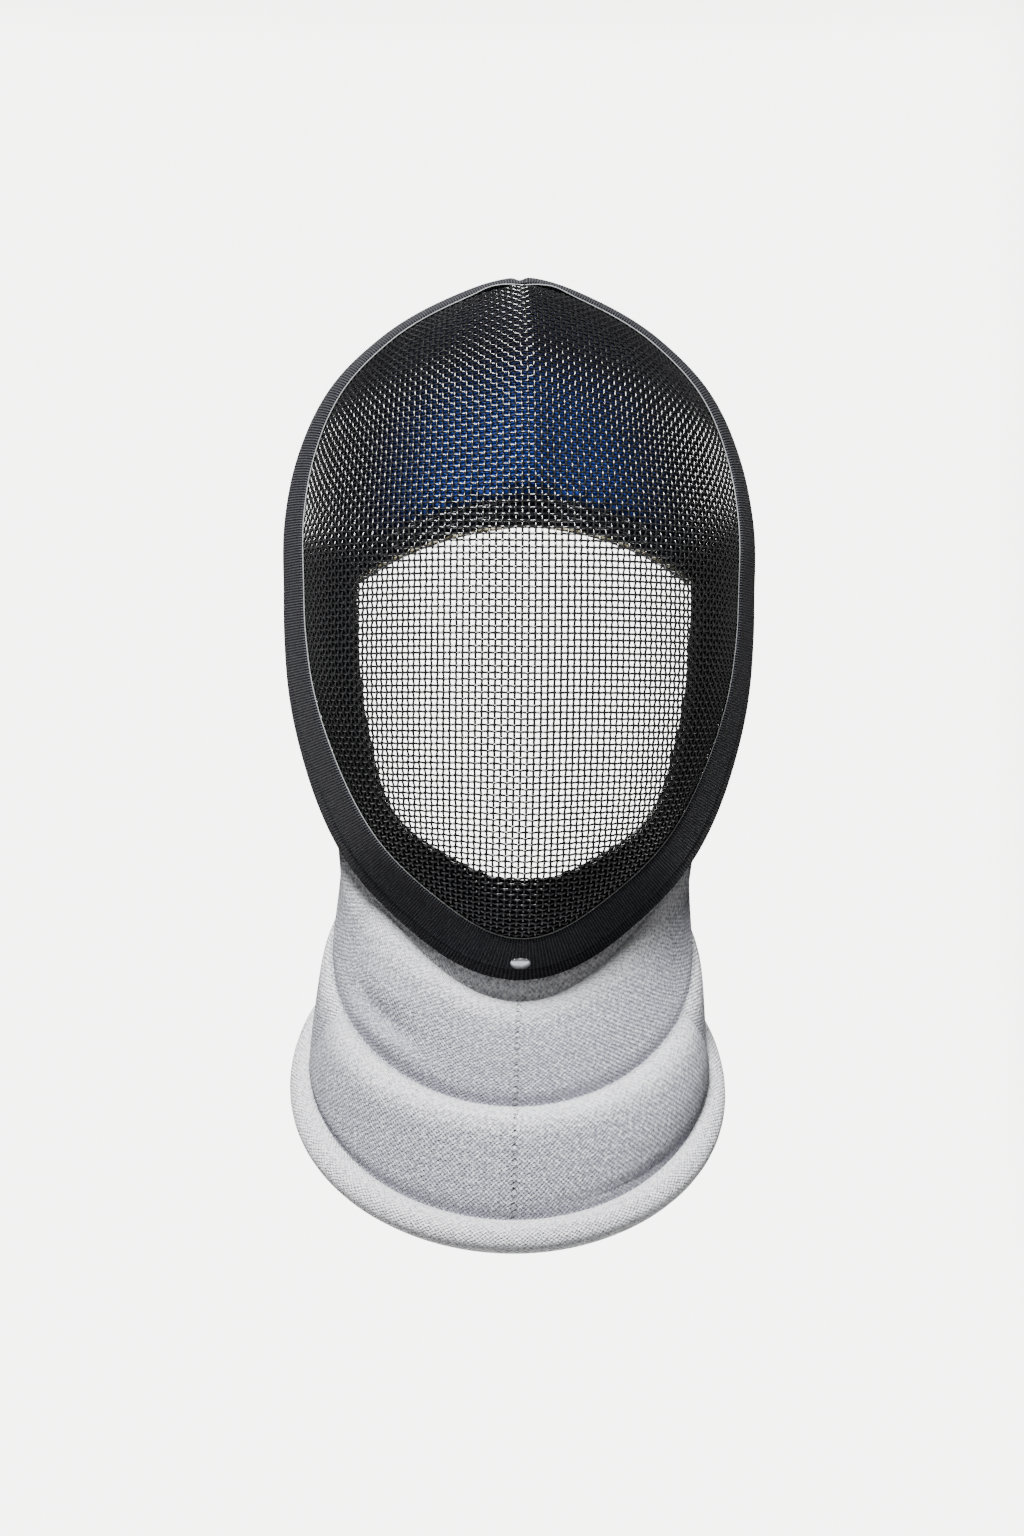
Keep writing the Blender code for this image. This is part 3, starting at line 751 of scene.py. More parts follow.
def honeycomb(tree, place, u, v):
    """The cloth's small cells, whose threads wander a little: 0 in the hollows, 1 on the ribs."""
    astray = times(tree, noise_over(tree, place, STRAY_CELLS, 2.0), CELL_STRAY)
    along = added(tree, u, astray)
    up = wave(tree, added(tree, v, astray), CELL_HEIGHT)
    even = times(tree, wave(tree, along, CELL_WIDTH), up)
    odd = wave(tree, added(tree, along, CELL_WIDTH / 2), CELL_WIDTH)
    return added(tree, even, times(tree, odd, inverse(tree, up)))


def painted_channel_light(tree):
    """Painted light across a padded channel, from its upper seam to its lower one: a painted highlight on
    its upper part and painted shade along its lower seam.
    """
    channel = add_node(tree, "ShaderNodeUVMap", uv_map="channel").outputs["UV"]
    place = parts_of(tree, channel)[0]
    # painted highlight: the channel's upper part, which faces the light, is painted paler
    painted_highlight = colour_ramp(tree, place, [(stop, (pale,) * 3) for stop, pale in PAINTED_HIGHLIGHT_TABLE])
    # painted shade: darker towards the lower seam, where the cloth turns under
    painted_seam_shade = times(tree, ramp_between(tree, place, SEAM_SHADE_START, 1.0), -SEAM_SHADE_DEPTH)
    return added(tree, painted_highlight, painted_seam_shade)


def bib_material(name, channels=False):
    """White padded cloth with a small honeycomb weave and a slight nap. In a padded channel the colour
    carries painted light:
    a painted highlight on the channel's upper part, painted shade on its face and along its lower seam; the
    strip and the hem are painted paler instead."""
    material, tree, shader = start_material(name, (0.78, 0.78, 0.80), 0.8)
    shader.inputs["Sheen Weight"].default_value = 0.15
    shader.inputs["Sheen Roughness"].default_value = 0.6
    place, u, v = cloth_place(tree)
    cells = honeycomb(tree, place, u, v)
    fuzz = noise_over(tree, place, FUZZ_CELLS, 3.0)
    height = added(tree, times(tree, cells, 0.7), times(tree, fuzz, 1.1))
    under = add_bump(tree, shader, height, CLOTH_BUMP)
    seam = ramp_between(tree, math_node(tree, "ABSOLUTE", u), *SEAM_WIDTH)
    stitches = times(tree, wave(tree, v, STITCH_PITCH), inverse(tree, seam))
    add_bump(tree, shader, added(tree, seam, stitches), SEAM_BUMP, 0.9, under)
    grain = noise_over(tree, place, GRAIN_CELLS, 4.0, Roughness=0.7)
    specks = ramp_between(tree, grain, 0.36, 0.64)
    # the weave's cells colour the cloth: their hollows are painted darker, painted shade, and the specks are
    # grain
    shade = added(tree, times(tree, cells, 0.28), times(tree, specks, 0.42))
    # painted light: a channel gets its painted highlight and shade, the strip and the hem a fixed painted
    # lift
    shade = added(tree, shade, painted_channel_light(tree) if channels else PLAIN_CLOTH_PAINTED_LIGHT)
    cloudy = noise_over(tree, place, CLOUD_CELLS, 2.0)
    shade = added(tree, shade, times(tree, cloudy, 0.12))
    colour = colour_ramp(tree, shade, (
        (0.04, (0.13, 0.13, 0.16)),
        (0.40, (0.26, 0.26, 0.31)),
        (0.70, (0.64, 0.64, 0.68)),
        (0.95, (0.88, 0.88, 0.90)),
    ))
    tree.links.new(colour, shader.inputs["Base Color"])
    return material


def rivet_material():
    """Bright plated metal with fine scuffs."""
    material, tree, shader = start_material("bright_stud", (0.72, 0.73, 0.76), 0.2, 1.0)
    scuffs = noise_over(tree, object_place(tree), SCUFF_CELLS, 4.0)
    rough = added(tree, times(tree, scuffs, 0.2), 0.08)
    tree.links.new(rough, shader.inputs["Roughness"])
    add_bump(tree, shader, scuffs, SCUFF_BUMP, 0.3)
    return material


def thread_material(name, colour):
    """A twisted thread."""
    material, tree, shader = start_material(name, colour, 0.7)
    twist = noise_over(tree, object_place(tree), TWIST_CELLS, 2.0)
    add_bump(tree, shader, twist, TWIST_BUMP, 0.8)
    dark = tuple(0.55 * part for part in colour)
    shaded = colour_ramp(tree, twist, ((0.35, dark), (0.6, colour)))
    tree.links.new(shaded, shader.inputs["Base Color"])
    return material


# Woven mesh

def step_over(x, z, ahead_x, ahead_z):
    """The next place one pitch away over the surface, in a direction of the picture plane."""
    low, high = 0.0, PITCH
    here = float(dome_y(x, z))
    for _ in range(30):
        middle = (low + high) / 2
        rise = float(dome_y(x + ahead_x * middle, z + ahead_z * middle)) - here
        if middle ** 2 + rise ** 2 < PITCH ** 2:
            low = middle
        else:
            high = middle
    return x + ahead_x * low, z + ahead_z * low


def steps_over(x, z, ahead_x, ahead_z, count):
    """A run of places, each one pitch from the last over the surface."""
    places = [(x, z)]
    for _ in range(count):
        places.append(step_over(*places[-1], ahead_x, ahead_z))
    return np.array(places)


def weave_net(up, rows, columns):
    """Crossings of the weave to the right of the centre line: each is one pitch from its two
    neighbours nearer the start. Gives X and Z by column and row."""
    x = np.full((columns + 1, rows + 1), np.nan)
    z = np.full((columns + 1, rows + 1), np.nan)
    x[0] = 0.0
    z[0] = steps_over(0.0, WIRE_START, 0.0, up, rows)[:, 1]
    x[:, 0] = steps_over(0.0, WIRE_START, 1.0, 0.0, columns)[:, 0]
    z[:, 0] = WIRE_START
    for diagonal in range(2, rows + columns + 1):
        column = np.arange(max(1, diagonal - rows), min(columns, diagonal - 1) + 1)
        row = diagonal - column
        ax, az = x[column - 1, row], z[column - 1, row]
        bx, bz = x[column, row - 1], z[column, row - 1]
        good = np.isfinite(ax) & np.isfinite(bx)
        column, row = column[good], row[good]
        ax, az, bx, bz = ax[good], az[good], bx[good], bz[good]
        if not len(column):
            continue
        ay, by = dome_y(ax, az), dome_y(bx, bz)
        px = ax + bx - x[column - 1, row - 1]
        pz = az + bz - z[column - 1, row - 1]
        for _ in range(12):
            py = dome_y(px, pz)
            sx, sz = dome_slopes(px, pz)
            f = (px - ax) ** 2 + (py - ay) ** 2 + (pz - az) ** 2 - PITCH ** 2
            g = (px - bx) ** 2 + (py - by) ** 2 + (pz - bz) ** 2 - PITCH ** 2
            fx = 2 * ((px - ax) + (py - ay) * sx)
            fz = 2 * ((pz - az) + (py - ay) * sz)
            gx = 2 * ((px - bx) + (py - by) * sx)
            gz = 2 * ((pz - bz) + (py - by) * sz)
            det = fx * gz - fz * gx
            det = np.where(np.abs(det) < 1e-12, 1e-12, det)
            move_x = np.clip((f * gz - g * fz) / det, -PITCH / 2, PITCH / 2)
            move_z = np.clip((g * fx - f * gx) / det, -PITCH / 2, PITCH / 2)
            px = px - move_x
            pz = pz - move_z
        spread = np.hypot(px - ax, pz - az)
        near = (np.abs(px) < NET_WIDEST) & (rim_share(px, pz) < NET_EDGE) & (spread < 2 * PITCH)
        fine = np.isfinite(px) & near
        x[column[fine], row[fine]] = px[fine]
        z[column[fine], row[fine]] = pz[fine]
    return x, z


def whole_net():
    """The weave over the whole guard: X and Z by column and row, with not-a-number outside it."""
    ux, uz = weave_net(1, NET_ROWS_UP, NET_COLUMNS)
    dx, dz = weave_net(-1, NET_ROWS_DOWN, NET_COLUMNS)
    x = np.concatenate((dx[:, :0:-1], ux), axis=1)
    z = np.concatenate((dz[:, :0:-1], uz), axis=1)
    x = np.concatenate((-x[:0:-1], x), axis=0)
    z = np.concatenate((z[:0:-1], z), axis=0)
    return x, z


def tube_arrays(points, normals, radius, sides):
    """Vertices and faces of a closed tube along points."""
    along = np.gradient(points, axis=0)
    along /= np.linalg.norm(along, axis=1, keepdims=True)
    side = np.cross(along, normals)
    side /= np.linalg.norm(side, axis=1, keepdims=True)
    lift = np.cross(side, along)
    turns = 2 * math.pi * (np.arange(sides) + 0.5) / sides
    ring = (lift[:, None] * np.cos(turns)[None, :, None] + side[:, None] * np.sin(turns)[None, :, None])
    vertices = (points[:, None] + radius * ring).reshape(-1, 3)
    count = len(points)
    rows = np.arange(count - 1)[:, None] * sides
    cols = np.arange(sides)[None]
    following = (cols + 1) % sides
    quads = np.stack((rows + cols, rows + following, rows + sides + following, rows + sides + cols), axis=-1)
    faces = [tuple(face) for face in quads.reshape(-1, 4)[:, ::-1]]
    faces.append(tuple(range(sides)))
    faces.append(tuple(range((count - 1) * sides, count * sides))[::-1])
    return vertices, faces


def wire_path(x, z, phase):
    """Points and normals of one wire through a run of crossings, waving over and under."""
    crossings = dome_points(x, z)
    middle_x = (x[:-1] + x[1:]) / 2
    middle_z = (z[:-1] + z[1:]) / 2
    count = 2 * len(x) - 1
    all_x = np.empty(count)
    all_z = np.empty(count)
    all_x[::2], all_x[1::2] = x, middle_x
    all_z[::2], all_z[1::2] = z, middle_z
    points = dome_points(all_x, all_z)
    points[::2] = crossings
    normals = dome_normals(all_x, all_z)
    signs = np.where((np.arange(len(x)) + phase) % 2 == 0, 1.0, -1.0)
    lift = np.zeros(count)
    lift[::2] = signs * WAVE
    return points + normals * lift[:, None], normals


def join_tubes(name, paths, radius, sides, material):
    """One mesh of many tubes."""
    vertices = []
    faces = []
    total = 0
    for points, normals in paths:
        verts, quads = tube_arrays(points, normals, radius, sides)
        vertices.append(verts)
        faces.extend(tuple(index + total for index in face) for face in quads)
        total += len(verts)
    return new_object(name, np.concatenate(vertices), faces, material)


def inside_runs(inside):
    """Start and end of each run of crossings inside the rim."""
    runs = []
    start = None
    for index, value in enumerate(list(inside) + [False]):
        if value and start is None:
            start = index
        elif not value and start is not None:
            if index - start >= SHORTEST_RUN:
                runs.append((start, index))
            start = None
    return runs


def woven_mesh(material):
    """Upright and level wires, each in two pieces."""
    x, z = whole_net()
    with np.errstate(invalid="ignore"):
        inside = np.isfinite(x) & (rim_share(np.nan_to_num(x), np.nan_to_num(z)) < WIRE_REACH)
    upright = {"left": [], "right": []}
    level = {"upper": [], "lower": []}
    middle = x.shape[0] // 2
    for column in range(x.shape[0]):
        for start, end in inside_runs(inside[column]):
            path = wire_path(x[column, start:end], z[column, start:end], column + start)
            upright["left" if column < middle else "right"].append(path)
    for row in range(x.shape[1]):
        for start, end in inside_runs(inside[:, row]):
            path = wire_path(x[start:end, row], z[start:end, row], row + start + 1)
            mean = np.nanmean(z[start:end, row])
            level["upper" if mean > -WIDEST_DROP else "lower"].append(path)
    made = []
    for side, paths in upright.items():
        made.append(join_tubes("upright_wires_" + side, paths, WIRE_RADIUS, WIRE_SIDES, material))
    for side, paths in level.items():
        made.append(join_tubes("level_wires_" + side, paths, WIRE_RADIUS, WIRE_SIDES, material))
    for index, obj in enumerate(made):
        keep(obj, "steel_mesh", *(("face_mesh",) if index == 0 else ()))
    return made


# Trim

def trim_profile(width, thick):
    """Cross-section of the folded webbing: share of the band's width, and distance off its middle."""
    slot = MESH_WALL / 2 + SLOT_EASE
    skin = slot + thick
    lip = thick / width
    points = [(0.0, slot), (0.02 * lip, slot + 0.45 * thick), (0.25 * lip, slot + 0.85 * thick),
              (0.8 * lip, skin)]
    points += [(share, skin + PROFILE_BULGE * math.sin(math.pi * share)) for share in
               (0.12, 0.2, 0.3, 0.4, 0.5, 0.58, 0.64, 0.68, 0.70, 0.72, 0.76, 0.82, 0.9)]
    points += [(1.0 - 0.8 * lip, skin * 0.95), (1.0 - 0.25 * lip, skin * 0.7), (1.0, 0.3 * skin),
               (1.0, -0.3 * skin), (1.0 - 0.25 * lip, -skin * 0.7), (1.0 - 0.8 * lip, -skin * 0.95)]
    points += [(0.7, -skin), (0.45, -skin), (TRIM_LIP + lip, -skin), (TRIM_LIP, -skin * 0.8),
               (TRIM_LIP, -slot), (0.5, -slot), (0.55, 0.0), (0.5, slot), (0.25, slot)]
    return points


def smooth_trim(material):
    """The webbing all the way round, with its place on the cloth in metres."""
    count = TRIM_STEPS
    angles = 2 * math.pi * np.arange(count) / count + math.pi / 2
    turned = np.degrees(np.arctan2(np.sin(angles), np.cos(angles)))
    notch = NOTCH_DEPTH * np.exp(-((turned - NOTCH_ANGLE) / NOTCH_WIDTH) ** 2)
    chin = np.maximum(0.0, -np.sin(angles)) ** 2
    rim = rim_points(angles)
    lengths = np.linalg.norm(np.roll(rim, -1, axis=0) - rim, axis=1)
    walked = np.concatenate(((0.0,), np.cumsum(lengths)))[:-1]
    profile = trim_profile(PROFILE_WIDTH, TRIM_LAYER + PROFILE_EASE)
    vertices = []
    uvs = []
    for share, lift in profile:
        outer = 1.0 if lift > MESH_WALL else 0.0
        crease = CREASE_DEPTH * chin * math.exp(-((share - CREASE_PLACE) / CREASE_SPREAD) ** 2)
        vertices.append(band_points(angles, share, (lift - outer * (crease + notch))[:, None]))
        width = trim_width(angles)
        uvs.append(np.stack((walked, share * width + (TAPE_RETURN if lift < 0 else 0.0)), axis=-1))
    flat = np.concatenate(vertices)
    faces = grid_faces(len(profile), count, closed_rows=True, closed_columns=True)
    obj = new_object("webbing_trim", flat, faces, material, uvs=np.concatenate(uvs))
    face_out(obj)
    return keep(obj, "webbing", "edge_trim")


def ring_tube(name, angles, share, lift, radius, sides, material, slot):
    """A thin round line that runs round the rim."""
    lift = np.broadcast_to(lift, angles.shape)[:, None]
    points = band_points(angles, share, lift)
    along = np.roll(points, -1, axis=0) - np.roll(points, 1, axis=0)
    along /= np.linalg.norm(along, axis=1, keepdims=True)
    out = band_points(angles, share, lift + 0.001) - points
    out /= np.linalg.norm(out, axis=1, keepdims=True)
    side = np.cross(along, out)
    turns = 2 * math.pi * np.arange(sides) / sides
    ring = out[:, None] * np.cos(turns)[None, :, None] + side[:, None] * np.sin(turns)[None, :, None]
    vertices = (points[:, None] + radius * ring).reshape(-1, 3)
    faces = grid_faces(len(points), sides, closed_rows=True, closed_columns=True)
    obj = new_object(name, vertices, faces, material)
    face_out(obj)
    return keep(obj, slot)


def trim_lines(material):
    """The pale piping thread along the trim's front edge."""
    angles = 2 * math.pi * np.arange(TRIM_STEPS) / TRIM_STEPS
    away = np.degrees(angles) - 90.0
    rise, place, spread = PIPING_RISE
    beside = rise * np.exp(-((np.abs(away) - place) / spread) ** 2)
    dip, spread = PIPING_DIP
    lift = PIPING_LIFT + (beside - dip * np.exp(-(away / spread) ** 2))
    return ring_tube("trim_piping", angles, PIPING_PLACE, lift, PIPING_RADIUS, 6, material, "webbing")


def chin_stud(material):
    """The domed stud on the chin band."""
    low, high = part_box("chin_rivet")
    centre = (Vector(low) + Vector(high)) / 2
    out = Vector((0.0, -math.cos(SLOPE_CHIN), -math.sin(SLOPE_CHIN)))
    steps = 10
    sides = 40
    base = centre - out * STUD_HEIGHT / 2
    across = Vector((1.0, 0.0, 0.0))
    up = out.cross(across)
    vertices = []
    profile = [(STUD_RADIUS * 0.96, 0.0), (STUD_RADIUS, STUD_HEIGHT * 0.12)]
    for index in range(steps):
        turn = math.pi / 2 * index / steps
        profile.append((STUD_RADIUS * 0.99 * math.cos(turn),
                        STUD_HEIGHT * (0.2 + 0.8 * math.sin(turn))))
    for place, lift in profile:
        for side in range(sides):
            turn = 2 * math.pi * side / sides
            vertices.append(base + out * lift + (across * math.cos(turn) + up * math.sin(turn)) * place)
    faces = grid_faces(len(profile), sides, closed_columns=True)
    faces.append(tuple(range(sides)))
    top = len(vertices)
    vertices.append(base + out * STUD_HEIGHT)
    last = (len(profile) - 1) * sides
    faces += [(last + side, last + (side + 1) % sides, top) for side in range(sides)]
    obj = new_object("domed_stud", vertices, faces, material)
    face_out(obj)
    return keep(obj, "rivet", "chin_rivet")


# Liner

def pad_solid(name, x, z, thickness, material, gap=PAD_GAP, foot=FOOT_ROUND):
    """A pad behind the mesh over a grid of places. Its foot and its ends are rounded, over one
    part in that many of its size."""
    rows, columns = x.shape
    v = np.linspace(0, 1, rows)[:, None]
    u = np.linspace(0, 1, columns)[None]
    rounded = rounding(np.minimum(np.minimum(u, 1 - u) * END_ROUND, v * foot))
    half = thickness / 2
    middle = gap + half + PAD_EASE
    reach = half * (PAD_EDGE + (1 - PAD_EDGE) * rounded)
    front = dome_points(x, z, middle - reach)
    back = dome_points(x, z, middle + reach)
    vertices = np.concatenate((front.reshape(-1, 3), back.reshape(-1, 3)))
    obj = new_object(name, vertices, slab_faces(rows, columns), material)
    face_out(obj)
    return obj


def brow_edge(x):
    """Level of the lower edge of the head pad's binding."""
    return BROW_UP - WIDEST_DROP - BROW_DROP * (x / BROW_HALF) ** 2


def soft_head_pad(material):
    """The blue pad from the brow to the crown."""
    across = np.linspace(-1, 1, 61)[None]
    level = np.sin(np.linspace(0, math.pi / 2, 31))[:, None]
    low_x = across * BROW_HALF
    low_z = brow_edge(low_x) + BINDING_HEIGHT + BINDING_GAP
    angle = math.pi / 2 - across * (math.pi / 2 - math.radians(BROW_END))
    top_x, top_z = rim_place(angle, PAD_REACH)
    x = low_x + (top_x - low_x) * level
    z = low_z + (top_z - low_z) * level
    obj = pad_solid("blue_head_pad", x, z, HEAD_PAD, material, foot=BROW_FOOT_ROUND)
    return keep(obj, "liner_blue", "head_pad", padded=0.7)


def soft_binding(material):
    """The black binding along the brow, as a plain pad with a rounded foot; the ridges each side of its
    stitched middle are not shaped.
    """
    across = np.linspace(-1, 1, 61)[None]
    level = np.linspace(0, 1, 9)[:, None]
    x = across * BROW_HALF + 0 * level
    z = brow_edge(x) + BINDING_HEIGHT * level
    obj = pad_solid("black_brow_binding", x, z, BINDING, material, foot=BINDING_FOOT_ROUND)
    return keep(obj, "liner_black", "pad_binding", padded=0.6)


def brow_threads(pale, dull):
    """Thin cord under the binding's lower edge, and two rows of stitching on it."""
    x = BROW_HALF * THREAD_SPAN * np.linspace(-1, 1, 121)
    paths = []
    for rise, inward in BROW_THREADS:
        z = brow_edge(x) + rise
        paths.append((dome_points(x, z, np.full_like(x, inward)), dome_normals(x, z)))
    keep(join_tubes("brow_cord", paths[:1], CORD_RADIUS, 8, pale), "liner_black")
    keep(join_tubes("brow_stitching", paths[1:], STITCH_RADIUS, 6, dull), "liner_black")


def soft_rim_pad(name, node, start, end, thickness, material):
    """A pad along the rim, between two angles in degrees."""
    degrees = np.linspace(start, end, 41)[None]
    level = np.linspace(0, 1, 13)[:, None]
    angle = np.radians(degrees)
    folded = np.degrees(np.arcsin(np.sin(angle)))
    inner = smooth_table(WINDOW_TABLE, folded) + PAD_BEVEL
    outer = blend_round(angle, PAD_REACH, PAD_REACH, PAD_REACH_CHIN)
    x, z = rim_place(angle + 0 * level, inner + (outer - inner) * level)
    obj = pad_solid(name, x, z, thickness, material, gap=CHEEK_GAP)
    return keep(obj, "liner_black", node, padded=0.6)


def tongue_rows(columns, steps):
    """Middle surface of the back tongue."""
    across = np.linspace(-1, 1, columns)
    angles = math.pi / 2 - math.radians(TONGUE_ANGLE) * across
    depth = -(MESH_WALL / 2 + CLEARANCE + TRIM_LAYER + FACET_GAP + TONGUE_WALL / 2)
    rows = [band_points(angles, share, depth) for share in (TRIM_LIP, 0.4, 0.6, 0.8, 0.98)]
    root = rows[-1]
    corner = (root[0] + root[-1]) / 2
    middle = root[columns // 2]
    arch = corner + (middle - corner) * (1 - across ** 2)[:, None]
    level = np.stack((root[:, 0], arch[:, 1], arch[:, 2]), axis=-1)
    for index in range(1, steps + 1):
        turn = TONGUE_TURN * index / steps
        move = np.array((0.0, TONGUE_BACK * math.sin(turn), -TONGUE_FALL * (1 - math.cos(turn))))
        ease = min(1.0, 2.0 * index / steps)
        tip = max(0.0, 8 * index / steps - 7) * TONGUE_TIP
        rounded = np.zeros((columns, 3))
        rounded[:, 2] = tip * (1 - np.sqrt(1 - 0.9 * across ** 2))
        rows.append(root + (level - root) * ease + move + rounded)
    return np.array(rows)


def soft_tongue(material):
    """The padded tongue, with a flat bound edge."""
    columns = 25
    rows = tongue_rows(columns, 32)
    down = np.gradient(rows, axis=0)
    along = np.gradient(rows, axis=1)
    normal = np.cross(along, down)
    normal /= np.linalg.norm(normal, axis=-1, keepdims=True)
    count = rows.shape[0]
    u = np.linspace(0, 1, columns)[None]
    v = np.linspace(0, 1, count)[:, None]
    rounded = rounding(np.minimum(np.minimum(u, 1 - u) * TONGUE_SIDE_ROUND,
                                  np.minimum(v, 1 - v) * TONGUE_END_ROUND))
    seam = 1 - TONGUE_SEAM * np.exp(-((np.abs(u - 0.5) - TONGUE_SEAM_PLACE) / TONGUE_SEAM_WIDTH) ** 2)
    half = (TONGUE_WALL / 2 * (TONGUE_EDGE + (1 - TONGUE_EDGE) * rounded) * seam)[..., None]
    front = (rows + normal * half).reshape(-1, 3)
    back = (rows - normal * half).reshape(-1, 3)
    obj = new_object("padded_tongue", np.concatenate((front, back)), slab_faces(count, columns), material)
    face_out(obj)
    return keep(obj, "liner_black", "back_tongue", padded=0.5)


# Bib

def cloth_slab(name, front, back, material, along_cloth=0.4):
    """A closed cloth body between two grids. Its place on the cloth is in metres, and along_cloth
    is that of its middle column: the bib's upright seam is at 0."""
    rows, columns = front.shape[:2]
    vertices = np.concatenate((front.reshape(-1, 3), back.reshape(-1, 3)))
    down = np.linalg.norm(np.diff(front, axis=0), axis=-1).mean(axis=1)
    along = np.linalg.norm(np.diff(front, axis=1), axis=-1)
    v = np.concatenate(((0.0,), np.cumsum(down)))[:, None] + np.zeros((1, columns))
    u = np.concatenate((np.zeros((rows, 1)), np.cumsum(along, axis=1)), axis=1)
    u = u - u[:, columns // 2:columns // 2 + 1] + along_cloth
    uv = np.stack((u, v), axis=-1).reshape(-1, 2)
    obj = new_object(name, vertices, slab_faces(rows, columns), material, uvs=np.concatenate((uv, uv)))
    face_out(obj)
    return obj


def waisted(row, around, points, normal):
    """Points of the bib, drawn in at its sides towards the neck."""
    side = np.clip((np.abs(around) - WAIST_FROM) / WAIST_SPREAD, 0, 1)
    down = min(max((row - WAIST_ROW) / WAIST_TALL, 0.0), 1.0)
    share = side * side * (3 - 2 * side) * (1 - down * down * (3 - 2 * down))
    return points - normal * (WAIST * share)[:, None]


def quilted(name, span, columns, puff, material, dent=None, along_cloth=0.4):
    """A quilted panel over both channels, between the shares that span gives for a row."""
    front = []
    back = []
    channel_places = []
    steps = 26
    for channel in (LEDGE, UPPER_SEAM):
        for step in range(steps + 1):
            if channel != LEDGE and step == 0:
                continue
            place = (1 - math.cos(math.pi * step / steps)) / 2
            row = channel + place
            start, end = span(row)
            part = np.linspace(0, 1, columns)
            around = start + (end - start) * part
            normal, square = bib_directions(row, around)
            base = waisted(row, around, bib_points(row, around), normal)
            if row == LOWER_SEAM:
                base = base + square * SEAM_LAP
            sides = float(np.interp(row, (LEDGE, UPPER_SEAM, LOWER_SEAM), SIDE_FALL))
            shape = np.sin(math.pi * part) ** sides
            swell = puff * float(smooth_table(PUFF_TABLE, place)) * shape - SEAM_PULL
            if dent is not None:
                swell = swell + dent(row, around)
            front.append(base + normal * (BIB_WALL / 2 + swell)[:, None])
            back.append(base - normal * (BIB_WALL / 2))
            channel_places.append(np.stack((np.full(columns, place), part), axis=-1))
    obj = cloth_slab(name, np.array(front), np.array(back), material, along_cloth)
    mark_channel(obj, np.array(channel_places).reshape(-1, 2))
    return obj


def mark_channel(obj, places):
    """Give the front and back of a slab their places in the padded channel, as a second map."""
    layer = obj.data.uv_layers.new(name="channel")
    index = np.empty(len(obj.data.loops), dtype=np.int32)
    obj.data.loops.foreach_get("vertex_index", index)
    layer.data.foreach_set("uv", np.concatenate((places, places)).astype(np.float32)[index].ravel())


def front_folds(row, around):
    """How far the folds move the front panel's cloth out, or in."""
    moved = 0.0 * around
    for fold_row, place, tall, wide, depth in FOLD_TABLE:
        moved = moved + depth * np.exp(-((row - fold_row) / tall) ** 2 - ((around - place) / wide) ** 2)
    return moved


def soft_bib(material, channel_material):
    """Front panel, wings, collar and hem roll."""
    half_gap = -SEAM_LAP / BIB_HALF_WIDTH / 2

    def front_span(row):
        edge = panel_edge(row) - half_gap
        return -edge, edge

    def left_span(row):
        return -1.0, -panel_edge(row) - half_gap

    def right_span(row):
        return panel_edge(row) + half_gap, 1.0

    front = quilted("quilted_front", front_span, 241, BIB_PUFF, channel_material, front_folds, 0.0)
    keep(front, "bib_cloth", "bib_front", padded=0.7)
    left = quilted("quilted_wing_left", left_span, 41, BIB_WING_PUFF, channel_material)
    keep(left, "bib_cloth", "bib_wing_left", padded=0.5)
    right = quilted("quilted_wing_right", right_span, 41, BIB_WING_PUFF, channel_material)
    keep(right, "bib_cloth", "bib_wing_right", padded=0.5)
    soft_collar(material)
    soft_hem(material)


def soft_collar(material):
    """The strip that joins the bib to the inside of the chin band."""
    around = np.linspace(-1, 1, 161)
    middle = -(MESH_WALL / 2 + CLEARANCE + TRIM_LAYER + FACET_GAP + COLLAR_WALL / 2)
    angles = math.radians(BIB_ANGLE) * around - math.pi / 2
    normal, down = bib_directions(LEDGE, around)
    base = waisted(LEDGE, around, bib_points(LEDGE, around), normal)
    base = base + down * SEAM_LAP - normal * COLLAR_WALL / 2
    stations = [(band_points(angles, share, middle + COLLAR_WALL / 2),
                 band_points(angles, share, middle - COLLAR_WALL / 2))
                for share in COLLAR_STATIONS]
    last = (base + normal * COLLAR_WALL / 2, base - normal * COLLAR_WALL / 2)
    front = [pair[0] for pair in stations]
    back = [pair[1] for pair in stations]
    for part in (0.25, 0.5, 0.75, 1.0):
        eased = part * part * (3 - 2 * part) * 0.5 + part * 0.5
        front.append(stations[-1][0] + (last[0] - stations[-1][0]) * eased)
        back.append(stations[-1][1] + (last[1] - stations[-1][1]) * eased)
    obj = cloth_slab("bib_collar_strip", np.array(front), np.array(back), material)
    return keep(obj, "bib_cloth", "bib_collar", padded=0.3)


def soft_hem(material):
    """The padded roll along the lower edge, closed and rounded at both ends."""
    count = 181
    around = np.linspace(-1, 1, count)
    normal, down = bib_directions(LOWER_SEAM, around)
    centre = bib_points(LOWER_SEAM, around) + down * (HEM_RADIUS + SEAM_GAP)
    sides = 24
    turns = math.pi + 2 * math.pi * np.arange(sides) / sides
    ends = np.minimum(np.arange(count), np.arange(count)[::-1]) / HEM_END_STEPS
    shrink = rounding(np.maximum(ends, HEM_END_LEFT))
    radius = (HEM_RADIUS * shrink)[:, None, None]
    ring = normal[:, None] * np.cos(turns)[None, :, None] + down[:, None] * np.sin(turns)[None, :, None]
    vertices = (centre[:, None] + radius * ring).reshape(-1, 3)
    steps = np.linalg.norm(np.diff(centre, axis=0), axis=1)
    u = np.concatenate(((0.0,), np.cumsum(steps)))
    uv = np.stack(np.broadcast_arrays(u[:, None], (turns * HEM_RADIUS)[None]), axis=-1).reshape(-1, 2)
    faces = grid_faces(count, sides, closed_columns=True)
    faces.append(tuple(range(sides)))
    faces.append(tuple(range((count - 1) * sides, count * sides)))
    obj = new_object("hem_roll", vertices, faces, material, uvs=uv)
    face_out(obj)
    return keep(obj, "bib_cloth", "bib_hem", padded=0.8)


